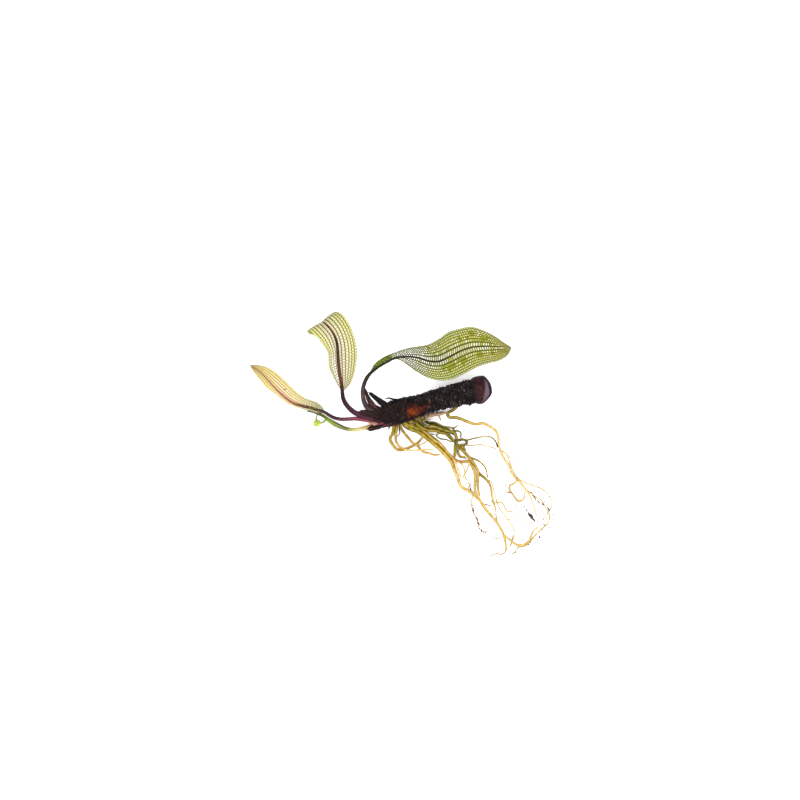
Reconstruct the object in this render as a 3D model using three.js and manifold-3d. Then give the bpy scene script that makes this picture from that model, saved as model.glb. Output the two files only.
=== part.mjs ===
// A Madagascar lace plant, lifted out of its tank and laid down: a bark-covered rhizome, three leaves whose
// blades are a lattice of veins, a young shoot, the stubs of old leaves, and a trail of roots.
// Millimetres, +Z up. The plant lies on the plane z = 0, and the origin is under the middle of its box.
import * as THREE from "three";
import { mergeVertices } from "three/addons/utils/BufferGeometryUtils.js";
import Module from "manifold-3d";

const wasm = await Module();
wasm.setup();

// Outlines are drawn as they are seen from here: each point is [x, y, height], where x and y are the place on the
// sheet below that it covers, and raised() brings it back along its line of sight to its real height.
const eye = new THREE.Vector3(-0.8, -488.8, 1420);

// The middle of the plant's box on that sheet, which becomes the origin.
const middle = { x: -1.34, y: -3.49 };

// What touches keeps this much air, and a rhizome, stalk or root that others grow from cuts them back by it.
const air = 0.3;

// A tube is drawn as a thread of this radius before it gets its own sizes.
const threadRadius = 0.1;

// Corners nearer than this are one corner.
const weld = 1e-4;

// Stalks, shoot and sheaths: the length of a ring and the number of sides.
const limbStep = 4.2;
const leastLimbSteps = 5;
const limbSides = 7;
const twigSides = 5;

// Roots.
const rootStep = 5.2;
const rootSlope = 0.35;
const rootAir = 0.35;
const groundAir = 0.05;
const forkReach = 8;
const insideRhizome = 5;
const clearanceParts = 6;
const thickRoot = 1;
const thickRootSides = 6;
const thinRootSides = 5;
const leastRootSteps = 4;

// Leaves.
const veinHalf = 0.42;
const marginHalf = 0.3;
const windowHalf = 0.24;
const barAlong = 1.3;
const barAcross = 1.05;
const leastWindow = 0.9;
const midribTaper = 0.6;
const reachAlong = 0.004;
const reachAcross = 0.02;

const finish = (color, roughness) => new THREE.MeshStandardMaterial({ color, roughness, metalness: 0 });
const bark = finish(0x2b211e, 0.75);
const deadSheath = finish(0x30221c, 0.6);
const purpleStalk = finish(0x4a2a30, 0.4);
const darkStalk = finish(0x3a3228, 0.4);
const greenLace = finish(0x9aa83c, 0.45);
const paleLace = finish(0xd8d59a, 0.5);
const blushLace = finish(0xdcc08c, 0.5);
const freshGreen = finish(0x7fa02a, 0.4);
const budGreen = finish(0xc3d63a, 0.35);
const oliveRoot = finish(0x8d8428, 0.45);
const goldRoot = finish(0xd9b257, 0.45);
const paleRoot = finish(0xe6d79a, 0.45);

// The rhizome's centre line, from the crown to the smooth old end, and its radius at distances along that line.
const rhizomeLine = [
  [-18.5, 10.2, 8.8],
  [3, 16.5, 9.5],
  [32, 25.4, 10],
  [57.5, 31.7, 10.5],
  [71.9, 34.4, 10.6],
];
const barkRadii = [
  [0, 2.6],
  [1.5, 5.2],
  [4, 7.4],
  [8, 8.8],
  [14, 9.8],
  [22, 9.6],
  [32, 8.9],
  [42, 8.3],
  [52, 8.2],
  [63, 8.6],
  [71, 9.1],
  [78.6, 9.4],
];
const barkRings = 33;
const rhizomeSides = 18;
const scarDepth = 0.55;
const lumpDepth = 0.32;
const lumpWaves = [
  { around: 3, along: 0.8 },
  { around: 5, along: -1.1 },
];
const coreRadius = 1;

// The block below the plane that the plant lies on.
const groundSpan = 300;
const groundDepth = 40;

// The smooth end is wider than the bark behind it, and closes with a rounded face.
const capRadii = [
  [79.8, 10.6],
  [82.2, 11.2],
  [87.4, 11.1],
  [90.6, 10.2],
  [92.7, 8],
  [93.6, 4.8],
];

// Leaf stalks: [x, y, height, radius] as seen.
const largeStalk = [
  [-14, 16.5, 11, 2.4],
  [-21, 18.6, 12, 2.3],
  [-26.6, 21.3, 13.2, 2.1],
  [-29.3, 26, 15, 1.9],
  [-30.6, 31, 17.6, 1.75],
  [-30.7, 36, 20.4, 1.7],
  [-29.6, 41.6, 23, 1.65],
  [-27.4, 47, 25.4, 1.6],
  [-24, 51.6, 27.3, 1.5],
];
const middleStalk = [
  [-13, 10.6, 10, 2.6],
  [-20, 11.6, 9.6, 2.5],
  [-26, 13, 9, 2.4],
  [-31.5, 14.8, 8.7, 2.25],
  [-36.5, 17.1, 8.7, 2.15],
  [-41, 20.8, 8.8, 2.05],
  [-44.5, 25.4, 9, 1.95],
  [-46.5, 30.4, 9.6, 1.8],
  [-47.1, 35.4, 10.4, 1.6],
];
const leftStalk = [
  [-14, 8.6, 6.4, 1.9],
  [-22, 10, 6.2, 1.85],
  [-30, 11.5, 6.2, 1.8],
  [-36, 12.2, 6.6, 1.7],
  [-42, 11.9, 7, 1.6],
  [-48, 11.8, 7.4, 1.55],
  [-53, 12.9, 7.8, 1.5],
  [-57.2, 15.1, 8.2, 1.45],
  [-60.4, 17.3, 8.6, 1.35],
];

// A blade: its midrib and its two margins, station by station from base to tip, as seen. The left margin is on the
// left of someone who walks along the midrib from the base.
const largeBlade = {
  midrib: [
    [-23.4, 52.3, 27.6], [-19, 56, 28.6], [-12, 60.5, 29.2], [-4, 64.3, 29.2], [5, 65.3, 28.4], [14, 64.2, 27],
    [22, 61.5, 25.4], [30, 61, 23.8], [39, 65, 22.8], [48, 70, 22.2], [57, 73.2, 21.2], [67, 74.2, 19.2],
    [76, 74, 16.2], [83.5, 73.8, 12.6], [88.8, 73, 9.2],
  ],
  left: [
    [-24.4, 53.8, 28.4], [-20.6, 60, 31], [-14, 65, 32], [-5, 69, 31.6], [5, 72.8, 30.4], [14, 74.2, 28],
    [23, 76.3, 25.6], [31.5, 81.5, 25], [38.5, 86.8, 25.4], [47, 89.5, 25], [57, 91.2, 23.6], [67, 88, 20.8],
    [76, 83, 17], [83.5, 77.3, 13], [89, 73.7, 9.4],
  ],
  right: [
    [-22.6, 51.3, 27], [-18.1, 55, 27.8], [-11.4, 59.2, 28], [-3.4, 62.9, 28], [3.5, 59, 26], [12, 52.5, 23],
    [21, 47.2, 20.6], [31, 44.6, 19], [41, 45.7, 18.2], [51, 50.5, 18], [61, 56, 17.4], [70, 59.3, 15.8],
    [79, 61.7, 13.4], [86, 66.2, 11], [89, 72.2, 8.8],
  ],
  midribHalf: 1.1,
  rows: 14,
  strips: [-1, -0.72, -0.42, 0, 0.42, 0.72, 1],
  material: greenLace,
};
const middleBlade = {
  midrib: [
    [-47.1, 36.6, 10.6], [-47.8, 42, 12.2], [-48.8, 48, 14.2], [-49.8, 55, 16.6], [-50.5, 62, 19],
    [-51, 69.5, 21.4], [-51.8, 77, 23.8], [-54.3, 84.5, 26], [-58.3, 90.5, 27.4], [-62, 94.2, 27.4],
    [-64.4, 95.2, 23.5], [-64.9, 92.2, 16.5], [-64.4, 88.8, 9.5], [-63.4, 85.2, 3.4],
  ],
  left: [
    [-48.5, 36.8, 10.4], [-52.2, 43, 11.4], [-55, 49, 13], [-57.9, 55.5, 15], [-58.7, 62, 17.2],
    [-59.2, 68.5, 20], [-62.9, 75, 23], [-66.9, 80.3, 25.4], [-70.6, 84.2, 26.6], [-74.4, 87.6, 26.4],
    [-76, 87.4, 22.6], [-74.6, 84.8, 16], [-70.4, 84.2, 9.2], [-63.9, 84.6, 3.3],
  ],
  right: [
    [-45.5, 36.2, 10.6], [-40.8, 41.5, 13], [-38.3, 47.5, 15.4], [-36.6, 55, 17.8], [-35.6, 63, 20.2],
    [-35.6, 71, 22.6], [-37, 79.5, 25], [-39.7, 88.5, 27], [-43.8, 97, 28.2], [-49, 103.2, 28],
    [-53.6, 104.6, 24], [-56.6, 99.4, 17], [-59.4, 92.2, 9.6], [-62.8, 85.9, 3.5],
  ],
  midribHalf: 1.15,
  rows: 13,
  strips: [-1, -0.66, -0.33, 0, 0.33, 0.66, 1],
  material: paleLace,
};
const leftBlade = {
  midrib: [
    [-61.4, 17.9, 8.8], [-66, 19.4, 9.4], [-72, 21.3, 10], [-79, 23, 10.6], [-86, 25.4, 10.8], [-92, 29.6, 10.6],
    [-98, 35.2, 10], [-104, 41.7, 8.8], [-110, 48.6, 7], [-115.5, 53.6, 4.8], [-121.3, 57.5, 2.4],
  ],
  left: [
    [-61.7, 16.9, 8.4], [-66.4, 16.9, 7.2], [-72.4, 18.5, 6], [-79.2, 20.6, 5.2], [-86.4, 22.8, 4.8],
    [-93, 26.4, 4.6], [-99.6, 32, 4.6], [-107, 37.8, 4.4], [-113.2, 44.8, 3.8], [-118, 51.4, 3], [-121.7, 57, 2.2],
  ],
  right: [
    [-61, 18.9, 9], [-64, 23.6, 11], [-69, 26.9, 12], [-77.4, 30.1, 12.6], [-83.4, 34.6, 12.8],
    [-88.6, 39.8, 12.6], [-94.4, 46, 11.8], [-100.8, 51.8, 10.4], [-107.8, 56.2, 8], [-114.4, 57.9, 5.2],
    [-121.1, 58.2, 2.6],
  ],
  midribHalf: 0.9,
  rows: 10,
  strips: [-1, -0.5, 0, 0.34, 0.67, 1],
  material: blushLace,
};

// What stands or hangs about the crown: [x, y, height, half width, half thickness] as seen.
const crownPieces = {
  stalk_sheath: {
    line: [[-12, 18, 12, 3.2, 2], [-18.5, 20.6, 12.6, 3.1, 1.8], [-23.4, 26.2, 14.4, 2.7, 1.4],
      [-26.6, 32, 17, 2, 1], [-28.6, 37.6, 20, 1, 0.6]],
    material: deadSheath,
  },
  blunt_stub: {
    line: [[-7, 19.5, 12, 2.8, 2.6], [-12.5, 23.4, 13.2, 2.7, 2.3], [-18.6, 28.4, 14.4, 2.4, 2],
      [-24.4, 33.4, 15.6, 2.1, 1.7]],
    material: deadSheath,
  },
  broad_sheath: {
    line: [[-9, 15, 13.4, 4, 2.6], [-16, 16.3, 13, 3.8, 2.3], [-24, 17, 12.4, 3, 1.8], [-31.6, 18.2, 12, 1.4, 0.9]],
    material: deadSheath,
  },
  frayed_stub: {
    line: [[-8, 8.8, 5.6, 3, 2.4], [-14, 7.4, 4.6, 2.9, 2.2], [-19.5, 5.6, 3.7, 2.6, 1.9], [-24.8, 3.3, 3, 1.9, 1.2]],
    material: deadSheath,
  },
  curled_thorn: {
    line: [[3, 27.6, 18, 0.9, 0.9], [-3, 28.2, 18.6, 0.9, 0.8], [-6.4, 28.6, 19, 0.75, 0.7],
      [-9.6, 29.7, 19, 0.6, 0.6], [-12.4, 28.9, 18.4, 0.35, 0.35]],
    material: deadSheath,
  },
};

// The young shoot: a pale stem that turns green and ends in a rolled leaf: [x, y, height, radius] as seen.
const shootLine = [
  [-18, 7.6, 3.2, 1.3],
  [-25, 5.5, 2.4, 1.25],
  [-30.5, 3.9, 1.8, 1.2],
  [-36.5, 2.8, 1.6, 1.2],
  [-42.5, 3.4, 1.7, 1.2],
  [-48.5, 5.5, 2, 1.3],
  [-53.4, 8, 2.4, 1.75],
  [-57.6, 10.9, 2.8, 1.7],
  [-61.5, 14.1, 3.2, 1.2],
  [-66, 16.4, 3.6, 1.1],
  [-70.4, 17.8, 3.8, 1],
  [-75, 18.6, 4, 0.5],
];
const budPlace = [-66.8, 8.2, 2.5];
const budSize = [2.9, 2.4, 2.3];
const budSegments = [12, 8];
const budStalks = [
  [[-67.4, 13.9, 2.5, 0.5], [-67.6, 11.6, 2.6, 0.5], [-67.2, 9, 2.6, 0.6]],
  [[-60.8, 10.1, 2.5, 0.5], [-62.6, 8.9, 2.5, 0.55], [-65, 8, 2.5, 0.6]],
];

// Roots in the order in which they come to lie, the lowest first: the points are [x, y] as seen, and diameters are
// spread evenly along the root. One that leaves the rhizome says how high, one that forks from another says which.
const roots = {
  root_outer_loop: {
    leaves: 4,
    diameters: [2.6, 2.4, 2.2, 1.8],
    points: [[-4.8, 12], [-5.5, 6.3], [-6.6, -0.2], [-8.6, -4], [-8.5, -6.3], [-7.1, -9.1], [-5, -12.1],
      [-2.5, -14], [0.4, -14.2], [6, -12.1], [11, -9.9], [13.1, -8.5], [14.9, -6.4], [16.2, -4.6]],
    material: oliveRoot,
  },
  root_diagonal: {
    leaves: 4,
    diameters: [2.2, 2.1, 1.9, 1.6],
    points: [[-0.8, 12.5], [-0.9, 6.5], [1, 2.4], [6.7, -5], [8.9, -7.6], [13.5, -11], [16.3, -14.7],
      [18.8, -16.2], [21.7, -16.7], [24.1, -17.7], [27, -18.3], [30.9, -18.1]],
    material: oliveRoot,
  },
  root_main_lower: {
    leaves: 4,
    diameters: [2.8, 2.8, 2.7, 2.6, 2.4, 2.1, 2],
    points: [[1.2, 13.5], [2.4, 7.2], [5.6, 4.3], [11.7, 1.6], [15.3, -0.1], [21, -4.6], [28.7, -11.7], [34.1, -17.3],
      [38.9, -23.3], [41.9, -30], [44.7, -37.5], [46.8, -43.8], [50.4, -46.6], [54.6, -49.1], [61, -54.8],
      [66.2, -63], [71.8, -69.8], [77, -77.3], [80.3, -84.7], [81.6, -92.1], [81.8, -97]],
    material: goldRoot,
  },
  root_main_upper: {
    leaves: 4.5,
    diameters: [2.2, 2.2, 2.3, 2.3, 2.2, 2, 1.7],
    points: [[5.2, 14.5], [7.2, 8.6], [13.5, 5], [19.3, 0.7], [24.2, -4.3], [27.4, -6.8], [30.8, -8.8], [35.5, -14.4],
      [38.2, -17.9], [41, -20.6], [43.8, -23], [46.4, -23.8], [50, -24.1], [53.5, -23.6], [56.3, -28],
      [57.9, -32.3], [58.5, -37], [58.2, -41.8], [58, -46.5], [59, -50.5], [60.5, -53.2]],
    material: goldRoot,
  },
  root_middle: {
    leaves: 4.5,
    diameters: [2.2, 2.2, 2.2, 2.2, 2.2, 2, 1.8],
    points: [[9.2, 17], [10.8, 9.8], [14, 6.6], [18, 3.9], [22, 2.2], [28, 1.8], [33, 0.2], [36.1, -0.9], [39.7, -4.5],
      [44, -8.6], [48, -13.7], [52.5, -18.5], [55.8, -23], [58.6, -27], [60.4, -30.6], [60.9, -34.7],
      [60.7, -39.4], [60.7, -44.1], [61.2, -49.5], [62, -52.6]],
    material: goldRoot,
  },
  root_upright: {
    leaves: 4.5,
    diameters: [2.4, 2.6, 2.6, 2.5, 2.4],
    points: [[13.4, 18.5], [15.2, 9.8], [18, 6.9], [21.6, 5.5], [25.9, 5.5], [32.2, 3.1], [38.6, 1.4], [42.1, 0.5],
      [43.6, -2.4], [44, -5.1], [43.6, -8], [42.9, -10.8], [42.8, -14.6], [42.7, -18.5], [42.2, -20.2]],
    material: oliveRoot,
  },
  root_upright_branch: {
    forks: "root_upright",
    diameters: [2, 1.9, 1.7],
    points: [[43.5, -8.4], [44.9, -11], [45.2, -14.5], [45.6, -17.6], [47, -19.6], [50, -20.2], [51.6, -21]],
    material: oliveRoot,
  },
  root_olive: {
    forks: "root_middle",
    diameters: [2, 1.9, 1.7, 1.5, 1.4],
    points: [[59.6, -29], [61.4, -33.2], [65.9, -37.5], [68.2, -39.9], [69.7, -42.8], [70.8, -46.6], [71.6, -53.4],
      [73, -58.6], [74.1, -63.6], [74.4, -68.6]],
    material: goldRoot,
  },
  root_knot: {
    forks: "root_upright",
    diameters: [1.9, 2.1, 2, 1.8],
    points: [[43.7, -6.4], [46.2, -5.9], [49, -5.3], [51, -5.9], [52.2, -7.5], [51.3, -9.5], [49, -10.1],
      [46.9, -9.4]],
    material: oliveRoot,
  },
  root_long_dark: {
    leaves: 5,
    diameters: [1.7, 1.6, 1.5, 1.3],
    points: [[17.6, 19.5], [19.4, 11], [22, 9.2], [25.2, 9], [28, 8.4], [33.7, 5.5], [39, 4.8], [41, 4],
      [43, 1.9], [44.8, 1.9], [46.7, 1.2], [47.8, -0.7], [47.4, -3], [47.9, -4.4]],
    material: oliveRoot,
  },
  root_spur: {
    forks: "root_long_dark",
    diameters: [1.3, 1.2, 0.9],
    points: [[40.6, 4.2], [42.2, 4.4], [44, 5.6], [46, 6.9]],
    material: oliveRoot,
  },
  root_dark_loop: {
    forks: "root_middle",
    diameters: [1.3, 1.2, 1.1],
    points: [[31.4, 0.3], [29.4, -0.6], [28.2, -2.2], [29.9, -4], [33.1, -5], [36.3, -5.5], [39, -7], [41.5, -7.4]],
    material: oliveRoot,
  },
  root_thin_dark: {
    forks: "root_middle",
    diameters: [1.4, 1.3, 1.2, 1.1],
    points: [[53.4, -19.6], [57, -21.1], [59.8, -22.3], [62, -23.7], [66.4, -28.5], [67.4, -31.3], [68, -35.1],
      [68.8, -37.8]],
    material: oliveRoot,
  },
  root_whip: {
    forks: "root_knot",
    diameters: [1.3, 1.1, 1],
    points: [[51.3, -6.2], [54.6, -5.3], [60.6, -3.8], [65.2, -3.1], [69.8, -2.7], [72.2, -3.9], [74.4, -6],
      [75.6, -8.4], [76.3, -12]],
    material: oliveRoot,
  },
  root_low_arc: {
    forks: "root_knot",
    diameters: [1.2, 1, 0.9],
    points: [[50.4, -9.9], [55.4, -10.3], [59, -10], [62.2, -9.3], [65, -10], [71.7, -12], [74.8, -12.9],
      [76.2, -13.5]],
    material: goldRoot,
  },
  root_right: {
    leaves: 4,
    diameters: [2.6, 2.4, 2.2, 2, 2, 1.9, 1.8, 1.6],
    points: [[47, 26.5], [44, 22], [41.3, 19], [38.1, 17.6], [37.2, 15.5], [38.6, 13.4], [44.5, 12.9],
      [47.7, 11.9], [52.8, 9.7], [56.9, 8], [60.5, 7.5], [65, 8.2], [67.8, 7.3], [74.1, 3.2], [76.2, 0.3],
      [77.3, -3.5], [78.1, -12.2], [80.8, -19.8], [84.8, -26.6], [87.6, -33.7], [92.4, -39.4], [95.6, -43.4],
      [100.3, -50.3], [102.4, -55], [105.6, -66], [108.3, -73.5]],
    material: paleRoot,
  },
  root_right_twin: {
    forks: "root_right",
    diameters: [1.6, 1.6, 1.6, 1.5, 1.4],
    points: [[78.6, -14.2], [81, -15.4], [83.2, -16.9], [84.7, -19.4], [85.7, -23.3], [88.7, -32],
      [92, -37.2], [94.8, -39.5], [98.5, -41.5], [109.8, -45.9], [113.9, -49], [116.8, -52.8], [118.2, -57.2],
      [117.8, -61.6], [115, -66], [112, -70], [111, -72.4]],
    material: paleRoot,
  },
  root_ring: {
    forks: "root_right",
    diameters: [1.5, 1.5, 1.4, 1.4, 1.2],
    points: [[91.8, -38.8], [89.6, -41.3], [87.1, -42.8], [85.4, -43.8], [85.1, -45.9], [88.2, -51.6],
      [91.5, -56], [94, -56.3], [96.4, -54.3], [97.1, -51], [96.6, -48.2]],
    material: goldRoot,
  },
  root_ring_tail: {
    forks: "root_ring",
    diameters: [1.1, 1, 0.8],
    points: [[91.6, -56], [90.9, -58], [90.4, -61.4], [89.8, -65]],
    material: goldRoot,
  },
  root_specked: {
    forks: "root_right",
    diameters: [1.1, 1.1, 1.1, 1.2, 1.3, 1.2, 1],
    points: [[99, -48.2], [100.8, -48.8], [103, -50], [105.5, -52.8], [109, -54.7], [111.3, -57.2], [114.1, -63.5],
      [115.8, -66.6], [116.1, -70.4], [115, -74], [110, -79], [104, -85], [101.5, -88.5], [98.5, -91.8],
      [95, -93.3], [91.7, -93.8], [88.9, -97.2], [87.6, -98.7], [85.6, -99.4]],
    material: paleRoot,
  },
  root_bottom: {
    forks: "root_main_lower",
    diameters: [1.7, 1.7, 1.7, 1.5, 1.3],
    points: [[79.8, -83.8], [83.1, -86.4], [89, -91.2], [92, -92.3], [94.7, -92], [97.7, -90.7], [99.8, -88.6],
      [102, -83.5], [103.4, -80.5], [105.8, -78.5], [107.6, -76.6]],
    material: goldRoot,
  },
  root_pale_twin: {
    forks: "root_main_upper",
    diameters: [1.8, 1.7, 1.5],
    points: [[41.6, -21.9], [43.2, -25], [44.6, -29], [46, -33], [47.2, -37.2]],
    material: paleRoot,
  },
  root_curled_tip: {
    forks: "root_main_upper",
    diameters: [1.3, 1.1, 0.9],
    points: [[54.4, -24.4], [53.6, -26.8], [51.1, -32.8], [49.6, -34.9], [48.9, -37.2], [47.8, -39.2]],
    material: paleRoot,
  },
  root_speckled: {
    forks: "root_main_upper",
    diameters: [1, 0.9, 0.9, 0.9, 0.8],
    points: [[44.6, -23.6], [47.3, -25.6], [49.4, -28], [50, -31], [51, -37.5], [53.6, -41.8], [53.9, -43.6],
      [53, -45.5], [56.1, -51.4], [55, -58.6], [55.9, -63.2], [58.9, -71], [61.2, -79], [64, -81.4], [68, -81]],
    material: paleRoot,
  },
  root_pale_wave: {
    forks: "root_olive",
    diameters: [1.2, 1.2, 1.2, 1.1, 1],
    points: [[67.4, -38.8], [70.4, -40], [72.6, -45.9], [74, -51.6], [75, -56], [77, -62], [83.6, -71.7],
      [87.5, -78.6], [88.8, -81.7], [88.4, -85.3], [86.8, -89], [85.4, -93]],
    material: paleRoot,
  },
  root_s_curve: {
    forks: "root_olive",
    diameters: [1.2, 1.2, 1.1, 1],
    points: [[73, -57.8], [75.4, -57.4], [78.4, -57.4], [80.5, -59.2], [81.6, -62.3], [83, -64.5], [86, -65.1],
      [88.4, -63.9]],
    material: goldRoot,
  },
  root_pale_link: {
    forks: "root_pale_wave",
    diameters: [1, 0.9, 0.9],
    points: [[83.4, -71.6], [86.8, -71], [90.4, -69.2], [93.4, -69.1], [95.8, -71], [99.3, -73.4], [103.6, -74.3]],
    material: paleRoot,
  },
  root_inner_loop: {
    leaves: 4.5,
    diameters: [2.2, 2, 1.8, 1.4, 1.2],
    points: [[-2.9, 12], [-3.3, 6.4], [-4, -1], [-4.1, -6.1], [-1.4, -11], [1.5, -12.9], [4.6, -14],
      [8.2, -14.5], [16, -14], [21, -13.8], [26, -13.6]],
    material: goldRoot,
  },
  root_small_loop: {
    forks: "root_outer_loop",
    diameters: [1.2, 1.1, 1],
    points: [[11.6, -9.6], [14.6, -9.9], [17.4, -8.7], [19.9, -7.2], [21.4, -5]],
    material: goldRoot,
  },
  root_pink_strand: {
    leaves: 4.5,
    diameters: [2.2, 2.4, 2.3, 2],
    points: [[21.6, 21.5], [21.8, 15.6], [23.6, 14.7], [26, 15.3], [30, 15.7], [36.6, 17.6]],
    material: paleRoot,
  },
  root_short_link: {
    forks: "root_pink_strand",
    diameters: [1.2, 1, 1],
    points: [[29.8, 15.6], [31, 12.8], [31.8, 10.4]],
    material: goldRoot,
  },
  root_left_tip: {
    forks: "root_main_lower",
    diameters: [1, 0.9, 0.8],
    points: [[81.7, -95.6], [80.4, -98.3], [78, -99.6], [74.6, -99], [72, -99.8], [69, -101.3]],
    material: paleRoot,
  },
};

function raised([x, y, height]) {
  const ground = new THREE.Vector3(x, y, 0);
  const point = ground.lerp(eye, height / eye.z);
  return point.sub(new THREE.Vector3(middle.x, middle.y, 0));
}

// The value at a share 0 to 1 of a list that is spread evenly.
function spread(values, share) {
  const place = Math.min(Math.max(share, 0), 1) * (values.length - 1);
  const first = Math.min(Math.floor(place), values.length - 2);
  return THREE.MathUtils.lerp(values[first], values[first + 1], place - first);
}

// The closed solid of a geometry, without the faces that have shrunk to nothing at a pole.
function solidOf(geometry) {
  const bare = geometry.index ? geometry.toNonIndexed() : geometry.clone();
  bare.deleteAttribute("normal");
  bare.deleteAttribute("uv");
  const merged = mergeVertices(bare, weld);
  const corners = merged.index.array;
  const triangles = [];
  for (let i = 0; i < corners.length; i += 3) {
    const [a, b, c] = corners.subarray(i, i + 3);
    if (a !== b && b !== c && c !== a) triangles.push(a, b, c);
  }
  return new wasm.Manifold(new wasm.Mesh({
    numProp: 3,
    vertProperties: merged.attributes.position.array,
    triVerts: new Uint32Array(triangles),
  }));
}

function meshOf(name, solid, material) {
  const made = solid.getMesh();
  const positions = new Float32Array(made.numVert * 3);
  for (let i = 0; i < made.numVert; i++) {
    positions.set(made.vertProperties.subarray(i * made.numProp, i * made.numProp + 3), i * 3);
  }
  const geometry = new THREE.BufferGeometry();
  geometry.setAttribute("position", new THREE.BufferAttribute(positions, 3));
  geometry.setIndex(new THREE.BufferAttribute(made.triVerts, 1));
  geometry.computeVertexNormals();
  const mesh = new THREE.Mesh(geometry, material);
  mesh.name = name;
  return mesh;
}

// A cutter can leave a crumb beyond it, so only the largest body is kept.
function largestBody(solid) {
  return solid.decompose().reduce((best, body) => (body.volume() > best.volume() ? body : best));
}

// The directions at a share of a line: along it, to its right, and up.
function directionsAt(line, share) {
  const along = line.getTangentAt(share);
  const right = new THREE.Vector3().crossVectors(along, new THREE.Vector3(0, 0, 1)).normalize();
  return { along, right, up: new THREE.Vector3().crossVectors(right, along) };
}

// Moves each vertex of a geometry to where place(vertex) puts it.
function bend(geometry, place) {
  const position = geometry.attributes.position;
  for (let k = 0; k < position.count; k++) {
    const moved = place(new THREE.Vector3().fromBufferAttribute(position, k));
    position.setXYZ(k, moved.x, moved.y, moved.z);
  }
  return geometry;
}

// A closed tube along a line. It starts as a thin thread, and each of its rings is widened to the half width and
// half thickness that sizes(share) gives there.
function tube(line, steps, sides, sizes) {
  const corners = Array.from({ length: sides }, (_, i) => {
    const angle = (2 * Math.PI * i) / sides;
    return new THREE.Vector2(threadRadius * Math.cos(angle), threadRadius * Math.sin(angle));
  });
  const thread = new THREE.ExtrudeGeometry(new THREE.Shape(corners), {
    steps,
    extrudePath: line,
    bevelEnabled: false,
  });
  const stations = line.getSpacedPoints(steps);
  return bend(thread, (vertex) => {
    const distances = stations.map((station) => station.distanceTo(vertex));
    const ring = distances.indexOf(Math.min(...distances));
    const [halfWidth, halfThickness] = sizes(ring / steps);
    const { right, up } = directionsAt(line, ring / steps);
    const offset = vertex.sub(stations[ring]).divideScalar(threadRadius);
    const [sideways, upward] = [offset.dot(right) * halfWidth, offset.dot(up) * halfThickness];
    return stations[ring].clone().addScaledVector(right, sideways).addScaledVector(up, upward);
  });
}

// A tube through stations [x, y, height, half width, half thickness] as seen.
function limb(stations, sides, extra = 0) {
  const line = new THREE.CatmullRomCurve3(stations.map(raised));
  const steps = Math.max(leastLimbSteps, Math.round(line.getLength() / limbStep));
  const widths = stations.map((station) => station[3]);
  const thicknesses = stations.map((station) => station[4] ?? station[3]);
  return solidOf(tube(line, steps, sides, (share) => [
    spread(widths, share) + extra,
    spread(thicknesses, share) + extra,
  ]));
}

// The value at a place in a list of [place, value].
function valueAt(list, place) {
  const last = list.findIndex(([there], i) => i > 0 && (there >= place || i === list.length - 1));
  const [[from, before], [to, after]] = [list[last - 1], list[last]];
  return THREE.MathUtils.lerp(before, after, (place - from) / (to - from));
}

// The rhizome, turned about a straight axis, bent onto its line, roughened all round and flat where it lies. Every
// other ring of the bark stands proud, as the scar of a leaf.
function rhizomeSolid(extra = 0) {
  const barkLength = barkRadii.at(-1)[0];
  const bark = Array.from({ length: barkRings + 1 }, (_, i) => {
    const place = (i / barkRings) * barkLength;
    return [place, valueAt(barkRadii, place) + (i % 2 ? scarDepth : 0)];
  });
  const rings = [...bark, ...capRadii].map(([place, radius]) => new THREE.Vector2(radius + extra, place));
  const length = capRadii.at(-1)[0];
  const ends = [new THREE.Vector2(0, -extra), new THREE.Vector2(0, length + extra)];
  const turned = new THREE.LatheGeometry([ends[0], ...rings, ends[1]], rhizomeSides);
  const line = new THREE.CatmullRomCurve3(rhizomeLine.map(([x, y, z]) => new THREE.Vector3(x, y, z)));
  bend(turned, (vertex) => {
    const share = Math.min(Math.max(vertex.y / length, 0), 1);
    const { along, right, up } = directionsAt(line, share);
    const angle = Math.atan2(vertex.z, vertex.x);
    const lumps = lumpWaves.reduce((sum, { around, along: turn }) =>
      sum + Math.sin(around * angle + turn * vertex.y), 0);
    const isBark = vertex.y < barkLength && Math.hypot(vertex.x, vertex.z) > coreRadius;
    const rough = isBark ? lumpDepth * lumps : 0;
    const point = line.getPointAt(share).addScaledVector(along, vertex.y - share * length);
    point.addScaledVector(right, vertex.x + rough * Math.cos(angle));
    point.addScaledVector(up, vertex.z + rough * Math.sin(angle));
    return point.sub(new THREE.Vector3(middle.x, middle.y, 0));
  });
  const ground = new THREE.BoxGeometry(groundSpan, groundSpan, groundDepth);
  ground.translate(0, 0, -groundDepth / 2 - extra);
  return solidOf(turned).subtract(solidOf(ground));
}

// Where a blade is, u from 0 at its base to 1 at its tip, and v from -1 at its right margin to 1 at its left one.
function bladeSurface(blade) {
  const [midrib, left, right] = [blade.midrib, blade.left, blade.right].map(
    (line) => new THREE.CatmullRomCurve3(line.map(raised)),
  );
  const place = (u, v) => {
    const centre = midrib.getPoint(u);
    return centre.lerp((v < 0 ? right : left).getPoint(u), Math.abs(v));
  };
  return (u, v) => {
    const along = place(Math.min(u + reachAlong, 1), v).sub(place(Math.max(u - reachAlong, 0), v));
    const across = place(u, Math.min(v + reachAcross, 1)).sub(place(u, Math.max(v - reachAcross, -1)));
    return { point: place(u, v), normal: along.cross(across).normalize() };
  };
}

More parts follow.
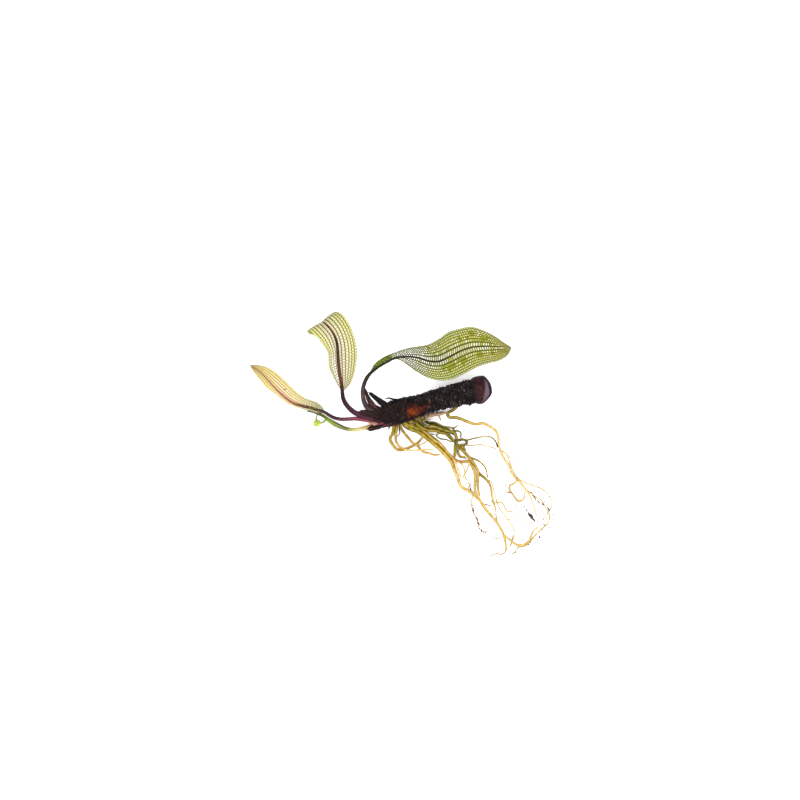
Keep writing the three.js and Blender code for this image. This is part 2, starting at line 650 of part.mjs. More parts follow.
// The lattice: a thin sheet of cells, with a window in each one that is wide enough. The veins between them are the
// thickest lines of the sheet, and the midrib the thickest of all.
function bladeSolid(blade) {
  const surface = bladeSurface(blade);
  const rows = blade.rows;
  const strips = blade.strips.length - 1;
  const vertices = [];
  const faces = [];
  const pair = (u, v, half) => {
    const { point, normal } = surface(u, v);
    for (const side of [1, -1]) vertices.push(point.clone().addScaledVector(normal, side * half));
    return vertices.length - 2;
  };
  const quad = (a, b, c, d) => faces.push(a, b, c, a, c, d);
  const halfAt = (i, j) => {
    if (blade.strips[j] === 0) return blade.midribHalf * (1 - midribTaper * (i / rows));
    return j === 0 || j === strips ? marginHalf : veinHalf;
  };
  const nodes = Array.from({ length: rows + 1 }, (_, i) =>
    blade.strips.map((v, j) => pair(i / rows, v, halfAt(i, j))));
  for (let i = 0; i < rows; i++) {
    for (let j = 0; j < strips; j++) {
      const outer = [nodes[i][j], nodes[i + 1][j], nodes[i + 1][j + 1], nodes[i][j + 1]];
      const wall = (k) => {
        const next = outer[(k + 1) % 4];
        quad(next, outer[k], outer[k] + 1, next + 1);
      };
      if (j === 0) wall(0);
      if (i === rows - 1) wall(1);
      if (j === strips - 1) wall(2);
      if (i === 0) wall(3);
      const inner = windowIn(surface, blade, i, j);
      if (!inner) {
        quad(...outer);
        quad(...[...outer].reverse().map((index) => index + 1));
        continue;
      }
      const hole = inner.map(([u, v]) => pair(u, v, windowHalf));
      for (let k = 0; k < 4; k++) {
        const next = (k + 1) % 4;
        quad(outer[k], outer[next], hole[next], hole[k]);
        quad(hole[k] + 1, hole[next] + 1, outer[next] + 1, outer[k] + 1);
        quad(hole[k], hole[next], hole[next] + 1, hole[k] + 1);
      }
    }
  }
  const geometry = new THREE.BufferGeometry().setFromPoints(vertices);
  geometry.setIndex(faces);
  return solidOf(geometry);
}

// The corners of a cell's window, or nothing where the cell is too narrow for one.
function windowIn(surface, blade, i, j) {
  const rows = blade.rows;
  const [low, high] = [blade.strips[j], blade.strips[j + 1]];
  const [from, to] = [i / rows, (i + 1) / rows];
  const [midU, midV] = [(from + to) / 2, (low + high) / 2];
  const length = surface(from, midV).point.distanceTo(surface(to, midV).point);
  const width = Math.min(
    surface(from, low).point.distanceTo(surface(from, high).point),
    surface(to, low).point.distanceTo(surface(to, high).point),
    surface(midU, low).point.distanceTo(surface(midU, high).point),
  );
  if (width < leastWindow + barAcross || length < leastWindow + barAlong) return null;
  const [du, dv] = [((to - from) * barAlong) / length / 2, ((high - low) * barAcross) / width / 2];
  return [[from + du, low + dv], [to - du, low + dv], [to - du, high - dv], [from + du, high - dv]];
}

// Lays a root down twice: its points are as seen, so the heights of the first time give its true place.
function layRoot(root, laid) {
  const seen = new THREE.CatmullRomCurve3(root.points.map(([x, y]) => new THREE.Vector3(x, y, 0)));
  const steps = Math.max(leastRootSteps, Math.round(seen.getLength() / rootStep));
  const radii = Array.from({ length: steps + 1 }, (_, i) => spread(root.diameters, i / steps) / 2);
  const first = settle(seen.getSpacedPoints(steps), radii, root, laid);
  const placed = first.map(({ x, y, z }) => raised([x, y, z]).setZ(0));
  return { stations: settle(placed, radii, root, laid), radii };
}

// Each station rests on the ground or on the roots that are already there, and the root comes down from a crossing,
// or from where it leaves the rhizome, in a long low slope.
function settle(places, radii, root, laid) {
  const steps = places.length - 1;
  const stations = places.map((place) => place.clone());
  const step = stations[0].distanceTo(stations[1]);
  const least = radii.map((radius) => radius + groundAir);
  for (let i = 0; i < steps; i++) {
    for (let k = 0; k <= clearanceParts; k++) {
      const share = k / clearanceParts;
      if (root.leaves && (i + share) * step < insideRhizome) continue;
      const spot = stations[i].clone().lerp(stations[i + 1], share);
      const radius = THREE.MathUtils.lerp(radii[i], radii[i + 1], share);
      const free = (i + share) * step < forkReach ? root.forks : undefined;
      const height = heightOver(spot, radius, laid, free);
      least[i] = Math.max(least[i], height);
      least[i + 1] = Math.max(least[i + 1], height);
    }
  }
  least[0] = Math.max(least[0], root.leaves ?? heightOf(stations[0], laid[root.forks]));
  stations.forEach((station, i) => {
    station.z = Math.max(...least.map((height, j) => height - rootSlope * step * Math.abs(i - j)));
  });
  return stations;
}

// How high a round thing's centre has to be to clear the roots that lie there, all but the one that it forks from.
function heightOver(spot, radius, laid, free) {
  let height = 0;
  for (const [name, other] of Object.entries(laid)) {
    if (name === free) continue;
    for (let i = 0; i + 1 < other.stations.length; i++) {
      const near = nearestOn(spot, other, i);
      const reach = radius + near.radius + rootAir;
      if (near.distance < reach) {
        height = Math.max(height, near.height + Math.sqrt(reach ** 2 - near.distance ** 2));
      }
    }
  }
  return height;
}

function heightOf(spot, other) {
  const all = other.stations.slice(1).map((_, i) => nearestOn(spot, other, i));
  return all.reduce((best, near) => (near.distance < best.distance ? near : best)).height;
}

// The point of a laid root's segment that is nearest to a spot, seen from above.
function nearestOn(spot, other, i) {
  const [a, b] = [other.stations[i], other.stations[i + 1]];
  const [dx, dy] = [b.x - a.x, b.y - a.y];
  const along = ((spot.x - a.x) * dx + (spot.y - a.y) * dy) / (dx * dx + dy * dy);
  const share = Math.min(Math.max(along, 0), 1);
  return {
    distance: Math.hypot(a.x + share * dx - spot.x, a.y + share * dy - spot.y),
    height: THREE.MathUtils.lerp(a.z, b.z, share),
    radius: THREE.MathUtils.lerp(other.radii[i], other.radii[i + 1], share),
  };
}

function rootSolid({ stations, radii }, extra = 0) {
  const line = new THREE.CatmullRomCurve3(stations);
  const sides = Math.max(...radii) > thickRoot ? thickRootSides : thinRootSides;
  return solidOf(tube(line, stations.length - 1, sides, (share) => {
    const radius = spread(radii, share) + extra;
    return [radius, radius];
  }));
}

const plant = new THREE.Group();
const rhizome = rhizomeSolid();
const aroundRhizome = rhizomeSolid(air);
plant.add(meshOf("rhizome", rhizome, bark));

// Each piece of the crown is cut back by those that are already there.
let aroundCrown = aroundRhizome;
function addCrownPiece(name, stations, material) {
  plant.add(meshOf(name, largestBody(limb(stations, limbSides).subtract(aroundCrown)), material));
  aroundCrown = aroundCrown.add(limb(stations, limbSides, air));
}
addCrownPiece("large_leaf_stalk", largeStalk, darkStalk);
addCrownPiece("middle_leaf_stalk", middleStalk, purpleStalk);
addCrownPiece("left_leaf_stalk", leftStalk, purpleStalk);
addCrownPiece("young_shoot", shootLine, freshGreen);
const aroundStalks = aroundCrown;
for (const [name, { line, material }] of Object.entries(crownPieces)) {
  addCrownPiece(name, line, material);
}

for (const [name, blade] of Object.entries({
  large_leaf_blade: largeBlade,
  middle_leaf_blade: middleBlade,
  left_leaf_blade: leftBlade,
})) {
  plant.add(meshOf(name, largestBody(bladeSolid(blade).subtract(aroundStalks)), blade.material));
}

const budCentre = raised(budPlace);
const knob = new THREE.SphereGeometry(1, ...budSegments).scale(...budSize);
knob.translate(budCentre.x, budCentre.y, budCentre.z);
const bud = budStalks.reduce((all, line) => all.add(limb(line, twigSides)), solidOf(knob));
plant.add(meshOf("bud", largestBody(bud.subtract(aroundStalks)), budGreen));

const laid = {};
for (const [name, root] of Object.entries(roots)) {
  laid[name] = layRoot(root, laid);
  const cutter = root.forks ? rootSolid(laid[root.forks], air) : aroundRhizome;
  plant.add(meshOf(name, largestBody(rootSolid(laid[name]).subtract(cutter)), root.material));
}

export default plant;
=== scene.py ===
import math
import random

import bpy
import numpy as np
from bpy.props import FloatProperty, FloatVectorProperty, IntProperty, PointerProperty
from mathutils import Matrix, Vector, noise
from mathutils.bvhtree import BVHTree


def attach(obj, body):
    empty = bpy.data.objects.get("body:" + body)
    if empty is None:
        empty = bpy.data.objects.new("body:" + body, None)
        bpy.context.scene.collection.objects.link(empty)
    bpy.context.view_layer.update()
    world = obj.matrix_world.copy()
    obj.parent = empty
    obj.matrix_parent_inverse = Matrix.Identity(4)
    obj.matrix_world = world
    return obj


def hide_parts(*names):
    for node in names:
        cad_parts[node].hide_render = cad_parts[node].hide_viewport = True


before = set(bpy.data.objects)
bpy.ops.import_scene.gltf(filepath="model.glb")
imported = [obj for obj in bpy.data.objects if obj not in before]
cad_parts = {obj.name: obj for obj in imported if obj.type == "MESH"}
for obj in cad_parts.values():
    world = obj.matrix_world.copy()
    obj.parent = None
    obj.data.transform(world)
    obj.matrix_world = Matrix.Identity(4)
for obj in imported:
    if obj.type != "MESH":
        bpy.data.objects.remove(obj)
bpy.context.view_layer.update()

bl_info = {
    "name": "Lace plant",
    "version": (1, 0, 0),
    "blender": (4, 5, 0),
    "location": "3D View > Sidebar > Lace plant",
    "description": "Dresses a lifted lace plant: bark, lattice leaves, shoot, roots and a white sheet",
    "category": "Mesh",
}

# All tables are in millimetres. Outlines are drawn as they are seen from EYE: each point is x, y and a
# height, where x and y are the place on the sheet below that it covers. seen() gives its real place.
MM = 0.001
SEAM = -math.pi / 2
EYE = np.array([-0.8, -488.8, 1420.0])
MIDDLE = np.array([-1.34, -3.49, 0.0])
UP = np.array([0.0, 0.0, 1.0])
SEED = 7

# The view: the height of the eye above the sheet as an angle, and what the picture's middle looks at.
ELEVATION = math.radians(70)
FOCAL = 85.0
SENSOR = 36.0
PICTURE = 800
MM_PER_PIXEL = 0.8
AIM = np.array([-0.8, 28.0, 0.0])

# How much more light falls on a level sheet than a white surface needs to show as white.
LIGHT = 2.0


def linear(red, green, blue):
    """A surface's own colour, from how it should show: 255 is white, and what is whiter is above it."""
    shares = [channel / 255 for channel in (red, green, blue)]
    own = [s / 12.92 if s <= 0.04045 else ((s + 0.055) / 1.055) ** 2.4 for s in shares]
    return tuple(value / LIGHT for value in own) + (1.0,)


def grey(value):
    return (value, value, value, 1)


# Rhizome: its centre line x, y, z, its radius at distances along it, where its bark stops, and how much of
# its smooth old end is cut away on each side, by the square of the way from near its middle.
RHIZOME_LINE = [(-18.5, 10.2, 8.8), (3, 16.5, 9.5), (32, 25.4, 10), (57.5, 31.7, 10.5), (71.9, 34.4, 10.6)]
BARK_RADII = [(0, 2.6), (1.5, 5.2), (4, 7.4), (8, 8.8), (14, 9.8), (22, 9.6), (32, 8.9), (42, 8.3),
    (52, 8.2), (63, 8.6), (71, 9.1), (78.6, 9.4)]
CAP_RADII = [(79.8, 10.6), (82.2, 11.2), (87.4, 11.1), (90.6, 10.2), (92.7, 8), (93.6, 4.8)]
BARK_END = 78.6
CAP_CUT = (0.034, 0.084)
RHIZOME_END = 93.6
RING_GAPS = (1.5, 2.9)
FLAKES = 520
BARK_FIBRES = 230
CROWN_FIBRES = 240
PALE_SHREDS = 26

# The sides of the rhizome where its end is cut at a slant, where it can be seen, and where the cut face of
# its end is painted brightest, as turns round it. That brightness is a painted highlight on the end's own
# lilac-grey face.
CUT_SIDE = math.radians(160)
SEEN_SIDE = math.radians(-25)
FACET_HIGHLIGHT_SIDE = math.radians(70)

# Ovals on the bark as they are seen: strength, middle, reach along and across, and turn. The last one has
# no strength, and no flake lies in it.
RUST = ((1, (8.8, 18), (9, 6.8), 0.25), (0.62, (17, 20.6), (8.5, 3), 0.75))
# Near-black ovals on the bark below the rust patch.
DARK_OVALS = ((1, (5.6, 11.4), (9, 2.6), 0.25), (1, (17, 17), (5.5, 2.2), 0.6))
BARE_OF_FLAKES = ((10.5, 18.6), (8, 6), 0.25)

# Stalks and shoot: x, y, height, radius.
STALKS = {
    "large_leaf_stalk": [
        (-10, 16, 10, 2.4), (-14, 16.5, 11, 2.4), (-21, 18.6, 12, 2.3), (-26.6, 21.3, 13.2, 2.1),
        (-29.3, 26, 15, 1.9), (-30.6, 31, 17.6, 1.75), (-30.7, 36, 20.4, 1.7), (-29.6, 41.6, 23, 1.65),
        (-27.4, 47, 25.4, 1.6), (-24, 51.6, 27.3, 1.4), (-19, 55.6, 28.4, 1.1)],
    "middle_leaf_stalk": [
        (-9, 10, 10, 2.6), (-13, 10.6, 10, 2.6), (-20, 11.6, 9.6, 2.5), (-26, 13, 9, 2.4),
        (-31.5, 14.8, 8.7, 2.25), (-36.5, 17.1, 8.7, 2.15), (-41, 20.8, 8.8, 2.05), (-44.5, 25.4, 9, 1.95),
        (-46.5, 30.4, 9.6, 1.8), (-47.1, 35.4, 10.4, 1.6), (-47.6, 40.5, 11.8, 1.1)],
    "left_leaf_stalk": [
        (-10, 8.2, 6.6, 1.9), (-14, 8.6, 6.4, 1.9), (-22, 10, 6.2, 1.85), (-30, 11.5, 6.2, 1.8),
        (-36, 12.2, 6.6, 1.7), (-42, 11.9, 7, 1.6), (-48, 11.8, 7.4, 1.55), (-53, 12.9, 7.8, 1.5),
        (-57.2, 15.1, 8.2, 1.45), (-60.4, 17.3, 8.6, 1.35), (-66, 19.4, 9.4, 1.1)],
    "young_shoot": [
        (-14, 8, 3.6, 1.4), (-18, 7.6, 3.2, 1.45), (-25, 5.5, 2.4, 1.5), (-30.5, 3.9, 1.8, 1.5),
        (-36.5, 2.8, 1.6, 1.5), (-42.5, 3.4, 1.7, 1.5), (-48.5, 5.5, 2, 1.6), (-53.4, 8, 2.4, 1.95),
        (-57.6, 10.9, 2.8, 1.9), (-61.5, 14.1, 3.2, 1.4), (-66, 16.4, 3.6, 1.2), (-70.4, 17.8, 3.8, 1),
        (-75, 18.6, 4, 0.5)],
}

# Blades: midrib and margins from base to tip. "strips" are the places of the long veins across the blade.
BLADES = {
    "large_leaf_blade": {
        "midrib": [
            (-23.4, 52.3, 27.6), (-19, 56, 28.6), (-12, 60.5, 29.2), (-4, 64.3, 29.2), (5, 65.3, 28.4),
            (14, 64.2, 27), (22, 61.5, 25.4), (30, 61, 23.8), (39, 65, 22.8), (48, 70, 22.2),
            (57, 73.2, 21.2), (67, 74.2, 19.2), (76, 74, 16.2), (83.5, 73.8, 12.6), (88.8, 73, 9.2)],
        "left": [
            (-24.4, 53.8, 28.4), (-20.6, 60, 31), (-14, 65, 32), (-5, 69, 31.6), (5, 72.8, 30.4),
            (14, 74.2, 28), (23, 76.3, 25.6), (31.5, 81.5, 25), (38.5, 86.8, 25.4), (47, 89.5, 25),
            (57, 91.2, 23.6), (67, 88, 20.8), (76, 83, 17), (83.5, 77.3, 13), (89, 73.7, 9.4)],
        "right": [
            (-22.6, 51.3, 27), (-18.1, 55, 27.8), (-11.4, 59.2, 28), (-3.4, 62.9, 28), (3.5, 59, 26),
            (12, 52.5, 23), (21, 47.2, 20.6), (31, 44.6, 19), (41, 45.7, 18.2), (51, 50.5, 18),
            (61, 56, 17.4), (70, 59.3, 15.8), (79, 61.7, 13.4), (86, 66.2, 11), (89, 72.2, 8.8)],
        "strips": [-1, -0.89, -0.78, -0.67, -0.55, -0.42, -0.25, 0, 0.25, 0.42, 0.55, 0.67, 0.78, 0.89, 1],
        "cells": 72,
        "midrib_half": [0.95, 0.8, 0.85, 0.8, 0.72, 0.66, 0.6, 0.5, 0.32],
        "fills": [
            (49.5, 62, 4.4), (39, 56.5, 3.8), (43, 58.5, 3), (63.5, 68, 2.6), (57.5, 73, 1.8),
            (47, 79.5, 2.4), (57, 84, 2.4), (66.5, 81, 2.4), (74, 70.5, 2), (34, 55, 2.4), (53, 79, 1.6),
            (70, 82, 1.8), (30, 74, 1.8), (22, 70.5, 1.6)],
    },
    "middle_leaf_blade": {
        "midrib": [
            (-47.1, 36.6, 10.6), (-47.8, 42, 12.2), (-48.8, 48, 14.2), (-49.8, 55, 16.6), (-50.5, 62, 19),
            (-51, 69.5, 21.4), (-51.8, 77, 23.8), (-54.3, 84.5, 26), (-58.3, 90.5, 27.4), (-62, 94.2, 27.4),
            (-64.4, 95.2, 23.5), (-64.9, 92.2, 16.5), (-64.4, 88.8, 9.5), (-63.4, 85.2, 3.4)],
        "left": [
            (-48.5, 36.8, 10.4), (-52.2, 43, 11.4), (-55, 49, 13), (-57.9, 55.5, 15), (-58.7, 62, 17.2),
            (-59.2, 68.5, 20), (-62.9, 75, 23), (-66.9, 80.3, 25.4), (-70.6, 84.2, 26.6),
            (-74.4, 87.6, 26.4), (-76, 87.4, 22.6), (-74.6, 84.8, 16), (-70.4, 84.2, 9.2),
            (-63.9, 84.6, 3.3)],
        "right": [
            (-45.5, 36.2, 10.6), (-40.8, 41.5, 13), (-38.3, 47.5, 15.4), (-36.6, 55, 17.8),
            (-35.6, 63, 20.2), (-35.6, 71, 22.6), (-37, 79.5, 25), (-39.7, 88.5, 27), (-43.8, 97, 28.2),
            (-49, 103.2, 28), (-53.6, 104.6, 24), (-56.6, 99.4, 17), (-59.4, 92.2, 9.6),
            (-62.8, 85.9, 3.5)],
        "strips": [-1, -0.87, -0.73, -0.58, -0.4, -0.2, 0, 0.24, 0.45, 0.66, 0.83, 1],
        "cells": 40,
        "midrib_half": [1.6, 1.5, 1.45, 1.4, 1.35, 1.25, 1.15, 1, 0.7, 0.45, 0.35, 0.25],
        "fills": [],
    },
    "left_leaf_blade": {
        "midrib": [
            (-61.4, 17.9, 8.8), (-66, 19.4, 9.4), (-72, 21.3, 10), (-79, 23, 10.6), (-86, 25.4, 10.8),
            (-92, 29.6, 10.6), (-98, 35.2, 10), (-104, 41.7, 8.8), (-110, 48.6, 7), (-115.5, 53.6, 4.8),
            (-121.3, 57.5, 2.4)],
        "left": [
            (-61.7, 16.9, 8.4), (-66.4, 16.9, 7.2), (-72.4, 18.5, 6), (-79.2, 20.6, 5.2),
            (-86.4, 22.8, 4.8), (-93, 26.4, 4.6), (-99.6, 32, 4.6), (-107, 37.8, 4.4), (-113.2, 44.8, 3.8),
            (-118, 51.4, 3), (-121.7, 57, 2.2)],
        "right": [
            (-61, 18.9, 9), (-64, 23.6, 11), (-69, 26.9, 12), (-77.4, 30.1, 12.6), (-83.4, 34.6, 12.8),
            (-88.6, 39.8, 12.6), (-94.4, 46, 11.8), (-100.8, 51.8, 10.4), (-107.8, 56.2, 8),
            (-114.4, 57.9, 5.2), (-121.1, 58.2, 2.6)],
        "strips": [-1, -0.82, -0.62, -0.42, -0.21, 0, 0.34, 0.67, 1],
        "cells": 62,
        "midrib_half": [1.25, 1.3, 1.25, 1.1, 0.95, 0.8, 0.6, 0.4],
        "fills": [],
    },
}

# Crown remains: x, y, height, half width, half thickness.
CROWN = {
    "stalk_sheath": [
        (-9, 17, 10.6, 3, 2), (-14.6, 17.8, 11.8, 3.1, 2), (-20.6, 20.6, 12.4, 2.9, 1.8),
        (-24.3, 26, 14.4, 2.1, 1.3), (-27.1, 31.6, 17, 1.4, 0.9), (-28.9, 37.2, 20, 0.8, 0.5)],
    "blunt_stub": [
        (-3, 18.5, 10, 2.8, 2.6), (-7, 19.5, 12, 2.8, 2.6), (-12.5, 23.4, 13.2, 2.5, 2.1),
        (-18.6, 28.4, 14.4, 2, 1.7), (-24.4, 33.4, 15.6, 1.3, 1.1)],
    "broad_sheath": [
        (-5, 14.6, 12, 4, 2.6), (-9, 15, 13.4, 4, 2.6), (-16, 16.3, 13, 3.8, 2.3), (-24, 17, 12.4, 3, 1.8),
        (-31.6, 18.2, 12, 1.4, 0.9)],
    "frayed_stub": [
        (-4, 9.4, 6, 3, 2.4), (-8, 8.8, 5.6, 3, 2.4), (-14, 7.4, 4.6, 2.9, 2.2),
        (-19.5, 5.6, 3.7, 2.6, 1.9), (-24.8, 3.3, 3, 1.9, 1.2)],
    "curled_thorn": [
        (6, 27, 16, 0.9, 0.9), (3, 27.6, 18, 0.9, 0.9), (-3, 28.2, 18.6, 0.9, 0.8),
        (-6.4, 28.6, 19, 0.75, 0.7), (-9.6, 29.7, 19, 0.6, 0.6), (-12.4, 28.9, 18.4, 0.35, 0.35)],
}

BUD_PLACE = (-66.8, 8.2, 2.5)
BUD_SIZE = (3.2, 2.75, 2.4)
BUD_STALKS = [
    [(-66.6, 15.4, 3.4, 0.55), (-67.4, 13.9, 2.5, 0.5), (-67.6, 11.6, 2.6, 0.6), (-67.2, 9, 2.6, 1.0)],
    [(-60.2, 10.8, 2.7, 0.85), (-60.8, 10.1, 2.5, 0.75), (-62.6, 8.9, 2.5, 0.8), (-65, 8, 2.5, 1.3)]]

